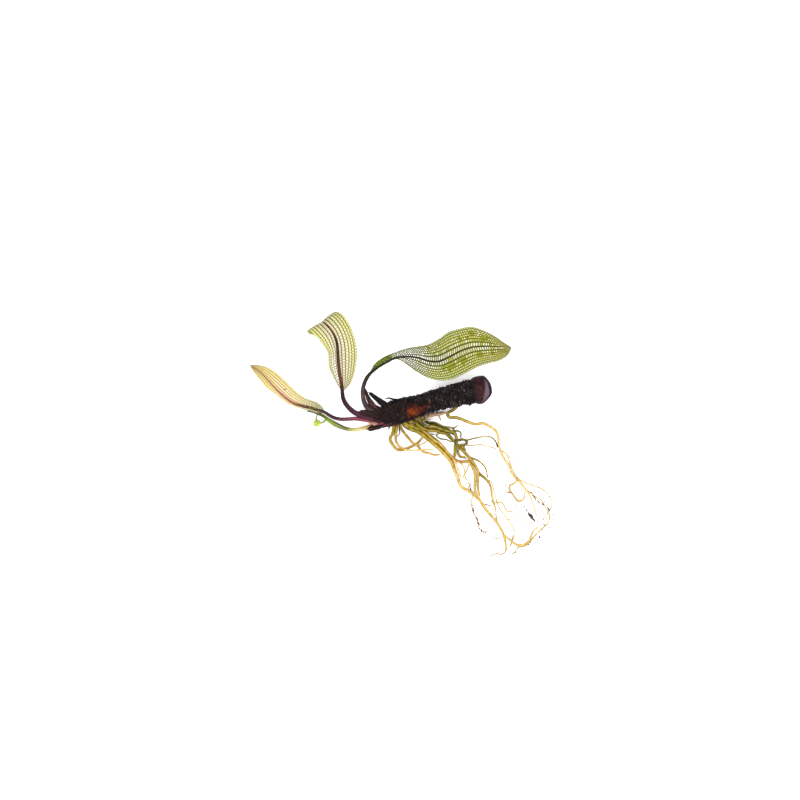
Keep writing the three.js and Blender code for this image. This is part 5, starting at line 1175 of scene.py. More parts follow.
class PLANT_OT_crown(bpy.types.Operator):
    """Makes the dried leaf bases about the crown"""
    bl_idname = "plant.crown"
    bl_label = "Crown remains"

    def execute(self, context):
        finish = sheath_finish(context.scene.plant_colours)
        skins = []
        for i, (name, stations) in enumerate(CROWN.items()):
            parts = [limb(name + "_skin", stations, 28, 0.6, self.torn(i))]
            if name in ("frayed_stub", "broad_sheath"):
                parts += self.shreds(name, stations, i)
            if name == "blunt_stub":
                hook = [(-24, 33.2, 15.6, 0.5), (-25.6, 34.4, 15.8, 0.4), (-26.9, 34.9, 15.9, 0.2)]
                parts.append(limb("stub_hook", hook, 7, 0.4))
            piece = join_pieces(name + "_skin", parts)
            blush = {"stalk_sheath": 0.7, "frayed_stub": 0.8, "broad_sheath": 0.25}.get(name, -1.0)
            set_values(piece, "blush", blush)
            finish_piece(piece, finish, "dead_sheath", name)
            skins.append(piece)
        tree = skin_tree(skins + [bpy.data.objects[name] for name in (
            "rhizome_bark", "large_leaf_stalk_skin", "middle_leaf_stalk_skin", "left_leaf_stalk_skin")])
        fibres = join_pieces("crown_fibres", self.fibres(tree))
        finish_piece(fibres, finish, "dead_sheath")
        torn = join_pieces("pale_shreds", self.pale_shreds())
        finish_piece(torn, shred_finish(), "dead_sheath")
        return {"FINISHED"}

    def fibres(self, tree):
        """Flat fibres that lie over the crown, from the bark towards the leaves."""
        rng = random.Random(SEED + 3)
        made = []
        for i in range(CROWN_FIBRES):
            x = rng.uniform(-20, 6)
            middle, half = 16.5 + 0.32 * (x + 5), 6.8 - 0.1 * (x + 5)
            share = rng.uniform(-1, 1)
            y = middle + share * half
            heading = math.pi - 0.32 - share * 0.35 + rng.gauss(0, 0.22)
            length = rng.uniform(2.2, 6.5)
            steps = np.linspace(0, 1, 7)
            line = [(x + step * length * math.cos(heading), y + step * length * math.sin(heading))
                    for step in steps]
            starts = np.array([seen((a, b, 30.0)) for a, b in line])
            ways = np.array([seen((a, b, 0.0)) for a, b in line]) - starts
            ways /= np.linalg.norm(ways, axis=1)[:, None]
            course = laid_on(tree, starts, ways, 0.12 + steps ** 2 * rng.uniform(0, 0.5))
            if course is None or np.abs(np.diff(course[:, 2])).max() > 2.2 or course[:, 2].min() < 2.5:
                continue
            widths = np.array([0.25, 0.4, 0.45, 0.42, 0.36, 0.25, 0.08]) * rng.uniform(0.55, 1.3)
            made.append(flat_tube(f"crown_fibre_{i}", course, widths, 0.4, 6))
            set_values(made[-1], "blush", rng.choice((0, 0, 0, 0.15, 0.5)))
        return made

    def pale_shreds(self):
        """The torn, pale tissue between the left stalk and the shoot."""
        rng = random.Random(SEED + 4)
        made = []
        for i in range(PALE_SHREDS):
            start = seen((rng.uniform(-21.5, -18.5), rng.uniform(6.6, 10.4), rng.uniform(6, 8.4)))
            tip = start + np.array([rng.uniform(-5, -2), rng.uniform(-1.2, 1.0), rng.uniform(-0.6, 0.6)])
            bend = (start + tip) / 2 + UP * rng.uniform(-0.2, 0.6)
            scale = rng.uniform(0.7, 1.2)
            made.append(thread(f"pale_shred_{i}", [start, bend, tip], [0.5, 0.45, 0.1], scale, 7, 0.5, 7))
        return made

    def torn(self, seed):
        """Folds along a dried base, deeper towards its torn end."""
        def relief(shares, angles):
            folds = np.cos(4 * angles + seed) * 0.10 + np.cos(9 * angles - 2 * seed + 4 * shares) * 0.06
            rough = np.array([noise.fractal(Vector((2 * math.cos(a), 2 * math.sin(a), s * 7 + seed * 5)),
                                            0.7, 2, 3) for s, a in zip(shares, angles)])
            return (folds + 0.14 * rough) * (0.6 + 0.8 * shares)
        return relief

    def shreds(self, name, stations, seed):
        """Torn strips that stick out past the end of a dried base."""
        rng = random.Random(SEED + seed)
        ends = np.array([seen(stations[-2]), seen(stations[-1])])
        ahead = ends[1] - ends[0]
        ahead /= np.linalg.norm(ahead)
        aside = np.cross(ahead, UP)
        made = []
        for i in range(5):
            start = ends[1] - ahead * rng.uniform(2, 4.5) + aside * rng.uniform(-1, 1) * stations[-1][3] * 0.8
            tip = start + ahead * rng.uniform(3.5, 6.5) + aside * rng.uniform(-1.2, 1.2)
            bend = (start + tip) / 2 + UP * rng.uniform(-0.3, 0.5)
            made.append(thread(f"{name}_shred_{i}", [start, bend, tip], [0.7, 0.55, 0.12], 1, 9, 0.4, 8))
        return made


class PLANT_OT_bud(bpy.types.Operator):
    """Makes the bud and its two thin stalks"""
    bl_idname = "plant.bud"
    bl_label = "Bud"

    def execute(self, context):
        deselect()
        bpy.ops.mesh.primitive_uv_sphere_add(segments=40, ring_count=24, radius=1, location=(0, 0, 0))
        knob = bpy.context.object
        table = points_of(knob)
        folds = 1 + 0.05 * np.cos(5 * np.arctan2(table[:, 1], table[:, 0]) + 2 * table[:, 2])
        lumps = np.array([noise.noise(Vector(row) * 1.7) for row in table])
        centre = seen(BUD_PLACE)
        points = centre + table * np.array(BUD_SIZE) * (folds + 0.1 * lumps)[:, None]
        points[:, 2] = np.maximum(points[:, 2], 0.05)
        set_points(knob, points)
        set_values(knob, "along", 1)
        close_up(knob)
        # Blender makes a sphere's faces in another order each time, so they are sorted.
        bpy.ops.object.mode_set(mode="EDIT")
        bpy.ops.mesh.select_all(action="SELECT")
        bpy.ops.mesh.sort_elements(type="CURSOR_DISTANCE", elements={"VERT", "EDGE", "FACE"})
        bpy.ops.object.mode_set(mode="OBJECT")
        stalks = [limb(f"bud_stalk_{i}", line, 12, 0.35) for i, line in enumerate(BUD_STALKS)]
        bud = join_pieces("bud_skin", [knob, *stalks])
        finish_piece(bud, bud_finish(context.scene.plant_colours), "bud_green", "bud")
        return {"FINISHED"}


# Blades.

RIB_RINGS = 150


class Surface:
    """The curved sheet that a blade lies on: u runs from base to tip, v from the right margin to the left."""

    def __init__(self, blade, bulge):
        self.lines = {key: Course([seen(p) for p in blade[key]]) for key in ("midrib", "left", "right")}
        self.bulge = bulge

    def flat(self, u, v):
        centre, left, right = (self.lines[key].at(u) for key in ("midrib", "left", "right"))
        margin = np.where((v < 0)[:, None], right, left)
        return centre + (margin - centre) * np.abs(v)[:, None], margin - centre

    def at(self, u, v):
        """Points and the directions that their faces look in."""
        reach = 0.004
        here, half = self.flat(u, v)
        ahead = self.flat(np.minimum(u + reach, 1), v)[0] - self.flat(np.maximum(u - reach, 0), v)[0]
        aside = self.flat(u, np.minimum(v + 0.02, 1))[0] - self.flat(u, np.maximum(v - 0.02, -1))[0]
        normal = np.cross(ahead, aside)
        normal /= np.maximum(np.linalg.norm(normal, axis=1), 1e-9)[:, None]
        arch = np.sin(math.pi * np.abs(v)) * np.linalg.norm(half, axis=1) * self.bulge
        return here + normal * arch[:, None], normal


def window_share(name, u, v, from_midrib, rng):
    """How much of a cell its window takes along and across the blade, where 0 is no window, and how far its
    tissue is filled."""
    cluster = noise.noise(Vector((u * 13, v * 3.2, 2.7 + len(name))))
    along, across, closed = 0.5, 0.6, 0.0
    if name == "large_leaf_blade":
        inner = from_midrib == 0
        if u < 0.19:
            return 0.0, 0.0, 0.0
        if u < 0.42:
            along, across, closed = (0.42, 0.46, 0.04) if from_midrib < 5 else (0.32, 0.34, 0.12)
        elif inner:
            along, across, closed = 0.36, 0.64, 0.24
        elif from_midrib == 1:
            along, across, closed = 0.38, 0.54, 0.25
        elif from_midrib < 5:
            along, across, closed = 0.34, 0.38, 0.5
        else:
            along, across, closed = 0.3, 0.32, 0.62
        if u > 0.42 and not inner and cluster > 0.3:
            closed = 0.7
        if u > 0.84:
            along, across, closed = along * 0.8, across * 0.8, closed + 0.35
        if from_midrib == 6:
            along, across, closed = 0.24, 0.22, closed * 0.5 + 0.5
    elif name == "middle_leaf_blade":
        early = 0.04 < u < 0.36
        if early and v > 0 and from_midrib in (1, 2):
            along, across, closed = 0.56, 0.82, 0.0
        elif early and v < 0 and from_midrib < 2:
            along, across, closed = 0.42, 0.66 - 0.3 * from_midrib, 0.0
        elif early and v > 0 and from_midrib == 4:
            along, across, closed = 0.3, 0.32, 0.3
        else:
            along, across, closed = 0.24, 0.3, 0.86
    else:
        along, across, closed = 0.28, 0.28, 0.6
        if u < 0.3:
            along, across, closed = 0.36, 0.4, 0.3
    if rng.random() < closed:
        dense = name == "large_leaf_blade" and from_midrib < 4 and cluster > 0.22
        return 0.0, 0.0, 0.65 if dense else 0.0
    return min(along * rng.uniform(0.7, 1.4), 0.82), min(across * rng.uniform(0.85, 1.18), 0.86), 0.0


def lattice_sheet(name, blade, surface, sizes):
    """The blade's lattice: a grid whose cells are merged in pairs like bricks, each opened as a window."""
    strips, cells = len(blade["strips"]) - 1, blade["cells"]
    rng = random.Random(SEED + len(name))
    sheet, place = flat_sheet(name + "_lace", strips, 2 * cells)
    column = np.rint(place[:, 0] * strips).astype(int)
    row = np.rint(place[:, 1] * 2 * cells).astype(int)
    shift = np.array([rng.uniform(-0.42, 0.42) for _ in row])
    inner = (row > 0) & (row < 2 * cells)
    lean = 0.55 * np.abs(column - blade["strips"].index(0)) / strips
    u = (row + np.where(inner, shift + lean * np.sin(math.pi * row / (2 * cells)), 0)) / (2 * cells)
    table = np.stack([column / strips, u, np.zeros(len(u))], 1)
    set_points(sheet, table / MM)
    merge_bricks(sheet, strips, cells)
    open_windows(name, sheet, blade, surface, rng, strips)
    lay_on_surface(sheet, blade, surface, strips, sizes)
    return sheet


def merge_bricks(sheet, strips, cells):
    """Takes out every second cross edge, shifted by one from strip to strip."""
    mesh = sheet.data
    bpy.ops.object.mode_set(mode="EDIT")
    bpy.ops.mesh.select_mode(type="EDGE")
    bpy.ops.mesh.select_all(action="DESELECT")
    bpy.ops.object.mode_set(mode="OBJECT")
    table = points_of(sheet)
    for edge in mesh.edges:
        a, b = edge.vertices
        columns = sorted((round(table[a][0] * strips), round(table[b][0] * strips)))
        if columns[0] == columns[1]:
            continue
        row = a // (strips + 1)
        edge.select = 0 < row < 2 * cells and (row + columns[0]) % 2 == 0
    bpy.ops.object.mode_set(mode="EDIT")
    bpy.ops.mesh.dissolve_edges(use_verts=False, use_face_split=False)
    bpy.ops.object.mode_set(mode="OBJECT")


def open_windows(name, sheet, blade, surface, rng, strips):
    """Insets every cell, shrinks the inner face to the size of its window and takes it out, or keeps it."""
    mesh = sheet.data
    set_values(sheet, "rim", 1)
    bpy.ops.object.mode_set(mode="EDIT")
    bpy.ops.mesh.select_mode(type="FACE")
    bpy.ops.mesh.select_all(action="SELECT")
    bpy.ops.mesh.inset(thickness=0.001, use_individual=True, use_even_offset=False)
    bpy.ops.object.mode_set(mode="OBJECT")
    table = points_of(sheet)
    rim = np.ones(len(mesh.vertices))
    fill = np.zeros(len(mesh.vertices))
    middle_column = blade["strips"].index(0)
    spots = [(seen((x, y), 21), reach) for x, y, reach in blade["fills"]]
    for face in mesh.polygons:
        if not face.select:
            continue
        corners = list(face.vertices)
        inner = table[corners]
        low, high = inner.min(0), inner.max(0)
        centre = (low + high) / 2
        column = int(centre[0] * strips)
        sides = [blade["strips"][column], blade["strips"][column + 1]]
        probe, _ = surface.at(np.array([centre[1], centre[1], low[1], high[1]]),
                              np.array([sides[0], sides[1], sum(sides) / 2, sum(sides) / 2]))
        from_midrib = column - middle_column if column >= middle_column else middle_column - 1 - column
        along, across, filled = window_share(name, centre[1], sum(sides) / 2, from_midrib, rng)
        here = probe.mean(0)
        if any(np.hypot(*(here - spot)[:2]) < reach * rng.uniform(0.62, 1.0) for spot, reach in spots):
            along, filled = 0.0, 1.0
        keep = along == 0
        if keep:
            along, across = 0.6, 0.66
        span = np.maximum(high - low, 1e-6)
        share = (inner - centre) / span * 2
        pull = np.where(np.clip(np.abs(share[:, 1]) * 1.02, 0, 1) > 0.9, 0.86, 1.0)
        table[corners, 0] = centre[0] + share[:, 0] * 0.5 / strips * across * pull
        table[corners, 1] = centre[1] + share[:, 1] * span[1] / 2 * along * pull
        rim[corners] = 0
        fill[corners] = filled
        face.select = not keep
    set_points(sheet, table / MM)
    set_values(sheet, "rim", rim)
    set_values(sheet, "fill", fill)
    bpy.ops.object.mode_set(mode="EDIT")
    bpy.ops.mesh.delete(type="FACE")
    bpy.ops.object.mode_set(mode="OBJECT")


def lay_on_surface(sheet, blade, surface, strips, sizes):
    """Lays the flat lattice onto the blade's surface and gives it its thickness."""
    table = points_of(sheet)
    strip = table[:, 0] * strips
    u = np.clip(table[:, 1], 0, 1)
    v = np.interp(strip, range(strips + 1), blade["strips"])
    points, normals = surface.at(u, v)
    margin = np.clip((np.abs(v) - 0.75) / 0.25, 0, 1)
    ruffle = np.array([noise.noise(Vector((a * 16, b * 0.8, 3.3))) for a, b in zip(u, v)])
    points = points + normals * (0.9 * margin * ruffle * np.sin(math.pi * u) ** 0.5)[:, None]
    set_points(sheet, points)
    for key, values in (("strip", strip), ("along", u), ("side", v), ("rib", 0)):
        set_values(sheet, key, values)
    rim = np.zeros(len(u), np.float32)
    sheet.data.attributes["rim"].data.foreach_get("value", rim)
    group = sheet.vertex_groups.new(name="thickness")
    for index, value in enumerate(rim):
        group.add([index], float(sizes.rim + (1 - sizes.rim) * value), "REPLACE")
    apply_modifier(sheet, "SOLIDIFY", thickness=sizes.vein, offset=0, vertex_group="thickness")
    apply_modifier(sheet, "SUBSURF", levels=1, render_levels=1)
    sheet.vertex_groups.clear()
    bpy.ops.object.shade_smooth()


class PLANT_OT_blades(bpy.types.Operator):
    """Makes the three lattice blades with their midribs"""
    bl_idname = "plant.blades"
    bl_label = "Lattice blades"

    def execute(self, context):
        sizes = context.scene.plant_sizes
        finishes = self.finishes()
        for name, slot in (("large_leaf_blade", "green_lace"), ("middle_leaf_blade", "pale_lace"),
                           ("left_leaf_blade", "blush_lace")):
            blade = BLADES[name]
            surface = Surface(blade, sizes.bulge)
            sheet = lattice_sheet(name, blade, surface, sizes)
            rib = self.midrib(name, blade)
            piece = join_pieces(name + "_lace", [sheet, rib])
            finish_piece(piece, finishes[name], slot, name)
        return {"FINISHED"}

    def midrib(self, name, blade):
        course = Course([seen(point) for point in blade["midrib"]])
        widths = spread(blade["midrib_half"], np.linspace(0, 1, RIB_RINGS))
        rib = flat_tube(name + "_rib", course.at(np.linspace(0.004, 0.996, RIB_RINGS)), widths, 0.75, 14,
                        grooved(len(name), 0.05, 3))
        for key, value in (("rib", 1), ("strip", 0), ("side", 0), ("fill", 0), ("rim", 0)):
            set_values(rib, key, value)
        return rib

    def finishes(self):
        green = blade_finish(
            "green_lace",
            [(0.02, 140, 176, 10), (0.1, 150, 184, 14), (0.18, 156, 176, 50),
             (0.25, 134, 140, 98), (0.36, 156, 162, 104), (0.46, 190, 194, 76),
             (0.6, 204, 206, 30), (0.8, 202, 198, 28), (0.96, 176, 160, 50)],
            [(0.02, 196, 222, 60), (0.1, 190, 214, 60), (0.18, 154, 170, 80),
             (0.3, 140, 148, 98), (0.45, 186, 194, 112), (0.7, 200, 206, 104),
             (0.97, 176, 160, 108)],
            [(0.02, 66, 88, 8), (0.14, 76, 98, 10), (0.21, 132, 142, 98),
             (0.28, 134, 134, 110), (0.46, 158, 156, 104), (0.58, 180, 180, 62),
             (0.75, 192, 192, 40), (0.95, 170, 160, 60)],
            {"edge_from": 0.7, "core_to": 0.3, "mottle": linear(222, 220, 140),
             "fill": [(0.34, 140, 148, 0), (0.52, 168, 174, 0), (0.7, 196, 196, 24)],
             "bars": [(0.0, grey(0.2)), (0.2, grey(0.85)), (0.45, grey(0.5))],
             "bar_tone": linear(78, 82, 40), "vein_half": 0.16, "vein": 0.94, "hatch": 144,
             "hatch_share": 0.0, "thin": 0.58, "thin_tone": linear(244, 244, 156),
             "fold_to": 0.21, "fold_tone": linear(44, 58, 10),
             "vein_tones": [(0.1, 60, 80, 12), (0.28, 56, 56, 40), (0.5, 56, 60, 20),
                            (0.75, 64, 68, 14), (0.95, 90, 70, 32)],
             "midrib": [(0.0, 40, 42, 16), (0.2, 28, 30, 12), (0.45, 14, 14, 6),
                        (0.7, 36, 38, 8), (0.9, 60, 56, 18), (1.0, 84, 54, 34)],
             "rib_light": linear(58, 60, 22)})
        pale = blade_finish(
            "pale_lace",
            [(0.03, 230, 216, 156), (0.2, 262, 256, 194), (0.45, 266, 260, 186),
             (0.66, 264, 256, 156), (0.74, 232, 224, 138), (1.0, 222, 216, 150)],
            [(0.03, 176, 172, 90), (0.14, 230, 230, 118), (0.35, 256, 254, 128),
             (0.6, 258, 258, 100), (0.72, 240, 246, 84), (1.0, 212, 216, 126)],
            [(0.03, 236, 200, 150), (0.2, 264, 250, 208), (0.4, 266, 252, 210),
             (0.6, 264, 250, 194), (0.72, 234, 226, 146), (1.0, 222, 216, 150)],
            {"edge_from": 0.55, "core_to": 0.42, "mottle": linear(248, 242, 212),
             "fill": [(0.3, 214, 206, 128), (0.7, 228, 220, 150)],
             "bars": [(0.0, grey(0.75)), (0.34, grey(0.6)), (0.5, grey(0.42))],
             "bar_tone": linear(146, 132, 70), "vein_half": 0.15, "vein": 0.96, "hatch": 104,
             "hatch_share": 0.35, "thin": 0.55, "thin_tone": linear(270, 266, 222),
             "fold_to": 0.0, "fold_tone": linear(120, 110, 50),
             "vein_tones": [(0.05, 92, 80, 36), (0.25, 126, 118, 60), (0.45, 100, 94, 38),
                            (0.68, 80, 74, 14), (0.85, 110, 104, 50)],
             "midrib": [(0.0, 52, 16, 28), (0.05, 74, 28, 28), (0.1, 104, 62, 30),
                        (0.2, 112, 66, 34), (0.28, 86, 46, 20), (0.36, 52, 30, 8),
                        (0.5, 48, 28, 8), (0.56, 120, 78, 28), (0.61, 110, 68, 24),
                        (0.67, 52, 34, 10), (0.8, 90, 70, 40)],
             "rib_light": linear(136, 92, 50)})
        blush = blade_finish(
            "blush_lace",
            [(0.03, 152, 160, 88), (0.16, 200, 202, 118), (0.28, 262, 250, 170),
             (0.4, 288, 274, 206), (0.6, 288, 272, 196), (0.8, 284, 262, 150),
             (0.96, 244, 212, 110)],
            [(0.03, 176, 182, 96), (0.2, 216, 214, 106), (0.34, 264, 250, 116),
             (0.6, 284, 268, 156), (0.85, 282, 260, 134), (0.97, 196, 150, 100)],
            [(0.03, 140, 136, 64), (0.2, 196, 184, 96), (0.32, 262, 220, 160),
             (0.45, 290, 240, 204), (0.6, 288, 238, 190), (0.75, 276, 246, 156),
             (0.96, 214, 176, 100)],
            {"edge_from": 0.6, "core_to": 0.24, "mottle": linear(255, 246, 222), "thin": 0.3,
             "thin_tone": linear(290, 280, 226),
             "fill": [(0.3, 232, 210, 150), (0.7, 244, 226, 170)],
             "bars": [(0.0, grey(0.9)), (0.25, grey(0.6)), (0.4, grey(0.16))],
             "bar_tone": linear(136, 124, 64), "vein_half": 0.13, "vein": 1.0, "hatch": 124,
             "hatch_share": 0.2, "fold_to": 0.0, "fold_tone": linear(150, 130, 60),
             "vein_tones": [(0.05, 74, 78, 26), (0.25, 132, 108, 36), (0.45, 182, 126, 44),
                            (0.7, 180, 124, 36), (0.95, 140, 96, 48)],
             "midrib": [(0.0, 54, 44, 24), (0.12, 56, 54, 22), (0.24, 64, 56, 22),
                        (0.33, 110, 76, 38), (0.42, 176, 116, 78), (0.52, 192, 130, 90),
                        (0.64, 196, 138, 78), (0.8, 184, 140, 62), (0.94, 176, 132, 66),
                        (1.0, 96, 76, 72)],
             "rib_light": linear(216, 164, 112)})
        return {"large_leaf_blade": green, "middle_leaf_blade": pale, "left_leaf_blade": blush}


# Roots.

# Some roots thin out towards their tip, and the finest are thinner than their solids.
TAILS = {"root_right": 0.4, "root_olive": 0.6, "root_main_lower": 0.8}
SLIM = {"root_right_twin": 0.62, "root_pale_wave": 0.78, "root_pale_link": 0.74, "root_specked": 0.9,
        "root_s_curve": 1.0, "root_low_arc": 0.85, "root_pale_twin": 0.9, "root_ring_tail": 0.8}
ROOT_STEP = 5.2
ROOT_SLOPE = 0.35
ROOT_AIR = 0.35
GROUND_AIR = 0.05
FORK_REACH = 8
INSIDE_RHIZOME = 5
CLEARANCE_PARTS = 6


def nearest_on(spot, other, i):
    """Distance, height and radius of a laid root's segment at the place nearest to a spot, from above."""
    a, b = other[0][i], other[0][i + 1]
    gap = b[:2] - a[:2]
    share = min(max(float(np.dot(spot[:2] - a[:2], gap) / np.dot(gap, gap)), 0), 1)
    distance = math.hypot(*(a[:2] + share * gap - spot[:2]))
    return distance, a[2] + share * (b[2] - a[2]), other[1][i] + share * (other[1][i + 1] - other[1][i])


def height_over(spot, radius, laid, free):
    """The height that clears every root laid so far, but for the one that is free to touch."""
    height = 0.0
    for name, other in laid.items():
        if name == free:
            continue
        for i in range(len(other[0]) - 1):
            distance, there, thick = nearest_on(spot, other, i)
            reach = radius + thick + ROOT_AIR
            if distance < reach:
                height = max(height, there + math.sqrt(reach ** 2 - distance ** 2))
    return height


def settle(places, radii, start, laid):
    """Heights at which a root rests on the ground or on those that lie there, with long low slopes between
    them."""
    forks = start if isinstance(start, str) else None
    count = len(places)
    step = np.linalg.norm(places[1] - places[0])
    least = np.array(radii) + GROUND_AIR
    for i in range(count - 1):
        for k in range(CLEARANCE_PARTS + 1):
            share = k / CLEARANCE_PARTS
            if forks is None and (i + share) * step < INSIDE_RHIZOME:
                continue
            spot = places[i] + share * (places[i + 1] - places[i])
            radius = radii[i] + share * (radii[i + 1] - radii[i])
            free = forks if (i + share) * step < FORK_REACH else None
            height = height_over(spot, radius, laid, free)
            least[i], least[i + 1] = max(least[i], height), max(least[i + 1], height)
    if forks is None:
        least[0] = max(least[0], start)
    else:
        near = min((nearest_on(places[0], laid[forks], i) for i in range(len(laid[forks][0]) - 1)))
        least[0] = max(least[0], near[1])
    order = np.arange(count)
    return np.array([np.max(least - ROOT_SLOPE * step * np.abs(order - i)) for i in range(count)])


def lay_roots():
    """Lays the roots one over another: for each, its stations, radii, smooth course and heights."""
    laid, courses = {}, {}
    for name, (start, diameters, _, points, _) in ROOTS.items():
        course = Course([(x, y, 0) for x, y in points])
        steps = max(4, round(course.length / ROOT_STEP))
        shares = np.linspace(0, 1, steps + 1)
        radii = spread(diameters, shares) / 2
        ground = course.along(shares)
        first = settle(ground, radii, start, laid)
        placed = np.array([seen(point, rise) for point, rise in zip(ground, first)])
        placed[:, 2] = 0
        heights = settle(placed, radii, start, laid)
        stations = placed.copy()
        stations[:, 2] = heights
        laid[name] = (stations, radii)
        courses[name] = (course, heights)
    return courses


def skin_values(tone, specks, slender, orange, blush):
    """The values that colour a root, each as a row along it."""
    rows = {"tone": tone, "specks": specks, "slender": slender, "orange": orange, "blush": blush}
    return {key: np.atleast_1d(row) for key, row in rows.items()}


class PLANT_OT_roots(bpy.types.Operator):
    """Lays the roots on the sheet and on each other"""
    bl_idname = "plant.roots"
    bl_label = "Roots"

    def execute(self, context):
        sizes = context.scene.plant_sizes
        skin = root_finish()
        courses = lay_roots()
        for index, (name, (_, diameters, tones, _, slot)) in enumerate(ROOTS.items()):
            course, heights = courses[name]
            count = max(12, int(course.length * MM / sizes.root_ring))
            shares = np.linspace(0, 1, count)
            ground = course.along(shares)
            ease = Course([(0, i, h) for i, h in enumerate(heights)]).at(shares)[:, 2]
            centres = np.array([seen(point, rise) for point, rise in zip(ground, ease)])
            radii = spread(diameters, shares) / 2 * SLIM.get(name, 1.06)
            radii = radii * (1 + 0.16 * wander(shares, index + 1, course.length / 5))
            taper = np.minimum(1, (1 - shares) * course.length / 3 + 0.45)
            radii = radii * taper * spread([1, 1, 1, 1, TAILS.get(name, 1)], shares)
            centres[:, 2] = np.maximum(centres[:, 2], radii)
            sides = 14 if max(diameters) > 1.6 else 10
            orange = 0.75 * np.exp(-((centres[:, 0] - 46.5) ** 2 / 16 + (centres[:, 1] + 20) ** 2 / 2.4))
            specked = 1.0 if name in ("root_speckled", "root_specked", "root_pale_link") else 0.12
            values = skin_values(tones, specked, np.clip(2.4 - 2 * np.array(diameters), 0, 1), orange,
                                 0.8 if name == "root_pink_strand" else 0)
            piece = flat_tube(name + "_skin", centres, radii, 1, sides, self.lumps(index), values)
            finish_piece(piece, skin, slot, name)
        strands = []
        for i, (points, radius, flat, tone, pink) in enumerate(STRANDS):
            course = Course([seen(point) for point in points])
            shares = np.linspace(0, 1, max(10, int(course.length / 0.6)))
            widths = radius * spread([1, 1, 0.9, 0.4], shares) * (1 + 0.2 * wander(shares, i + 50, 5))
            strands.append(flat_tube(f"strand_{i}", course.along(shares), widths, flat, 12,
                                     self.lumps(i + 60), skin_values(tone, 0, 0.5, 0, pink)))
        finish_piece(join_pieces("root_strands", strands), skin, "gold_root")
        return {"FINISHED"}

    def lumps(self, seed):
        def relief(shares, angles):
            return np.array([0.10 * noise.noise(Vector((1.2 * math.cos(a), 1.2 * math.sin(a),
                                                        s * 22 + seed * 7))) for s, a in zip(shares, angles)])
        return relief


class PLANT_OT_specks(bpy.types.Operator):
    """Scatters the specks of dirt among the root tips"""
    bl_idname = "plant.specks"
    bl_label = "Dirt specks"

    def execute(self, context):
        rng = random.Random(SEED + 5)
        made = []
        spots = [(*place, 12 if place[0] < 0 else 1.2) for place in SPECKS]
        for name, gap in (("root_speckled", 2.2), ("root_specked", 3.2), ("root_right_twin", 11.0)):
            course = Course([(x, y, 0) for x, y in ROOTS[name][3]])
            for share in np.arange(0.3, 1, gap / course.length):
                if rng.random() < 0.6:
                    a = course.along([share])[0][:2] + np.array([rng.gauss(0, 0.3), rng.gauss(0, 0.3)])
                    b = a + np.array([rng.gauss(0.2, 0.4), rng.gauss(-0.6, 0.4)])
                    spots.append((*a, *b, rng.uniform(0.18, 0.32), 1.2))
        for i, (x0, y0, x1, y1, half, rise) in enumerate(spots):
            for k in range(2 if half > 0.7 else 1):
                deselect()
                bpy.ops.mesh.primitive_ico_sphere_add(subdivisions=2, radius=1, location=(0, 0, 0))
                speck = bpy.context.object
                table = points_of(speck)
                seed = Vector((i, k, 0))
                rough = np.array([1 + 0.6 * noise.noise(Vector(row) * 1.7 + seed) for row in table])
                length, turn = math.hypot(x1 - x0, y1 - y0) / 2 + 0.35, math.atan2(y1 - y0, x1 - x0)
                local = table * np.array([length, half * 1.25, half * 0.9]) * rough[:, None]
                x, y, z = (local * (1 if k == 0 else 0.6)).T
                turned = np.stack([x * math.cos(turn) - y * math.sin(turn),
                                   x * math.sin(turn) + y * math.cos(turn), z], 1)
                points = turned + seen(((x0 + x1) / 2 + k * 0.6, (y0 + y1) / 2 + k * 0.5), rise)
                points[:, 2] = np.maximum(points[:, 2], 0.02)
                set_points(speck, points)
                made.append(speck)
        piece = join_pieces("dirt_specks", made)
        finish_piece(piece, dirt_finish(context.scene.plant_colours), "dead_sheath")
        return {"FINISHED"}


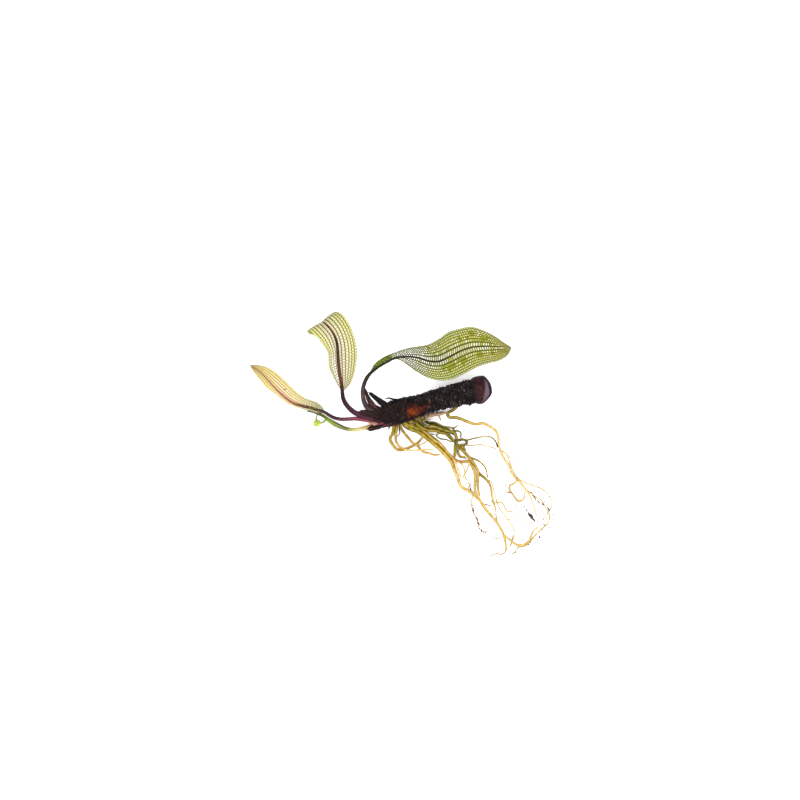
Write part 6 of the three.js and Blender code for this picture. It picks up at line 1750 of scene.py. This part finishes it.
class PLANT_OT_stage(bpy.types.Operator):
    """Sets the white sheet, the soft light and the camera"""
    bl_idname = "plant.stage"
    bl_label = "Stage"

    def execute(self, context):
        scene = context.scene
        deselect()
        bpy.ops.mesh.primitive_plane_add(size=SHEET_SIZE, location=(0, 0, 0))
        sheet = bpy.context.object
        sheet.name = "white_sheet"
        sheet.data.materials.append(glowing_sheet_finish(scene.plant_colours))
        world = bpy.data.worlds.new("room")
        world.use_nodes = True
        background = world.node_tree.nodes["Background"].inputs
        background["Color"].default_value, background["Strength"].default_value = ROOM_LIGHT
        scene.world = world
        for name, place, size, power, tint in LAMPS:
            deselect()
            bpy.ops.object.light_add(type="AREA", location=place)
            lamp = bpy.context.object
            lamp.name = name
            lamp.data.shape = "DISK"
            lamp.data.size = size
            lamp.data.energy = power
            lamp.data.color = tint
            lamp.rotation_euler = (Vector(place) * -1).to_track_quat("-Z", "Y").to_euler()
        distance = MM_PER_PIXEL * PICTURE / 2 / (SENSOR / 2 / FOCAL)
        aim = AIM - MIDDLE
        away = np.array([0, -math.cos(ELEVATION), math.sin(ELEVATION)]) * distance
        bpy.ops.object.camera_add(location=(aim + away) * MM, rotation=(math.pi / 2 - ELEVATION, 0, 0))
        camera = bpy.context.object
        camera.name = "viewer"
        camera.data.lens = FOCAL
        camera.data.sensor_width = SENSOR
        camera.data.clip_start = 0.05
        scene.camera = camera
        scene.view_settings.view_transform = "Standard"
        scene.view_settings.look = "None"
        return {"FINISHED"}


class PLANT_PT_panel(bpy.types.Panel):
    """Lists the plant's parts in the order in which they are made"""
    bl_label = "Lace plant"
    bl_idname = "PLANT_PT_panel"
    bl_space_type = "VIEW_3D"
    bl_region_type = "UI"
    bl_category = "Lace plant"

    def draw(self, context):
        layout = self.layout
        for group in (context.scene.plant_sizes, context.scene.plant_colours):
            box = layout.box()
            for key in group.__annotations__:
                box.prop(group, key)
        for step in STEPS:
            layout.operator(step.bl_idname)


STEPS = (PLANT_OT_rhizome, PLANT_OT_stalks, PLANT_OT_crown, PLANT_OT_bud, PLANT_OT_blades, PLANT_OT_roots,
         PLANT_OT_specks, PLANT_OT_stage)
CLASSES = (PlantSizes, PlantColours, *STEPS, PLANT_PT_panel)


def register():
    for cls in CLASSES:
        bpy.utils.register_class(cls)
    bpy.types.Scene.plant_sizes = PointerProperty(type=PlantSizes)
    bpy.types.Scene.plant_colours = PointerProperty(type=PlantColours)


def unregister():
    del bpy.types.Scene.plant_colours
    del bpy.types.Scene.plant_sizes
    for cls in reversed(CLASSES):
        bpy.utils.unregister_class(cls)


def main():
    register()
    bpy.ops.plant.rhizome()
    bpy.ops.plant.stalks()
    bpy.ops.plant.crown()
    bpy.ops.plant.bud()
    bpy.ops.plant.blades()
    bpy.ops.plant.roots()
    bpy.ops.plant.specks()
    bpy.ops.plant.stage()


if __name__ == "__main__":
    main()
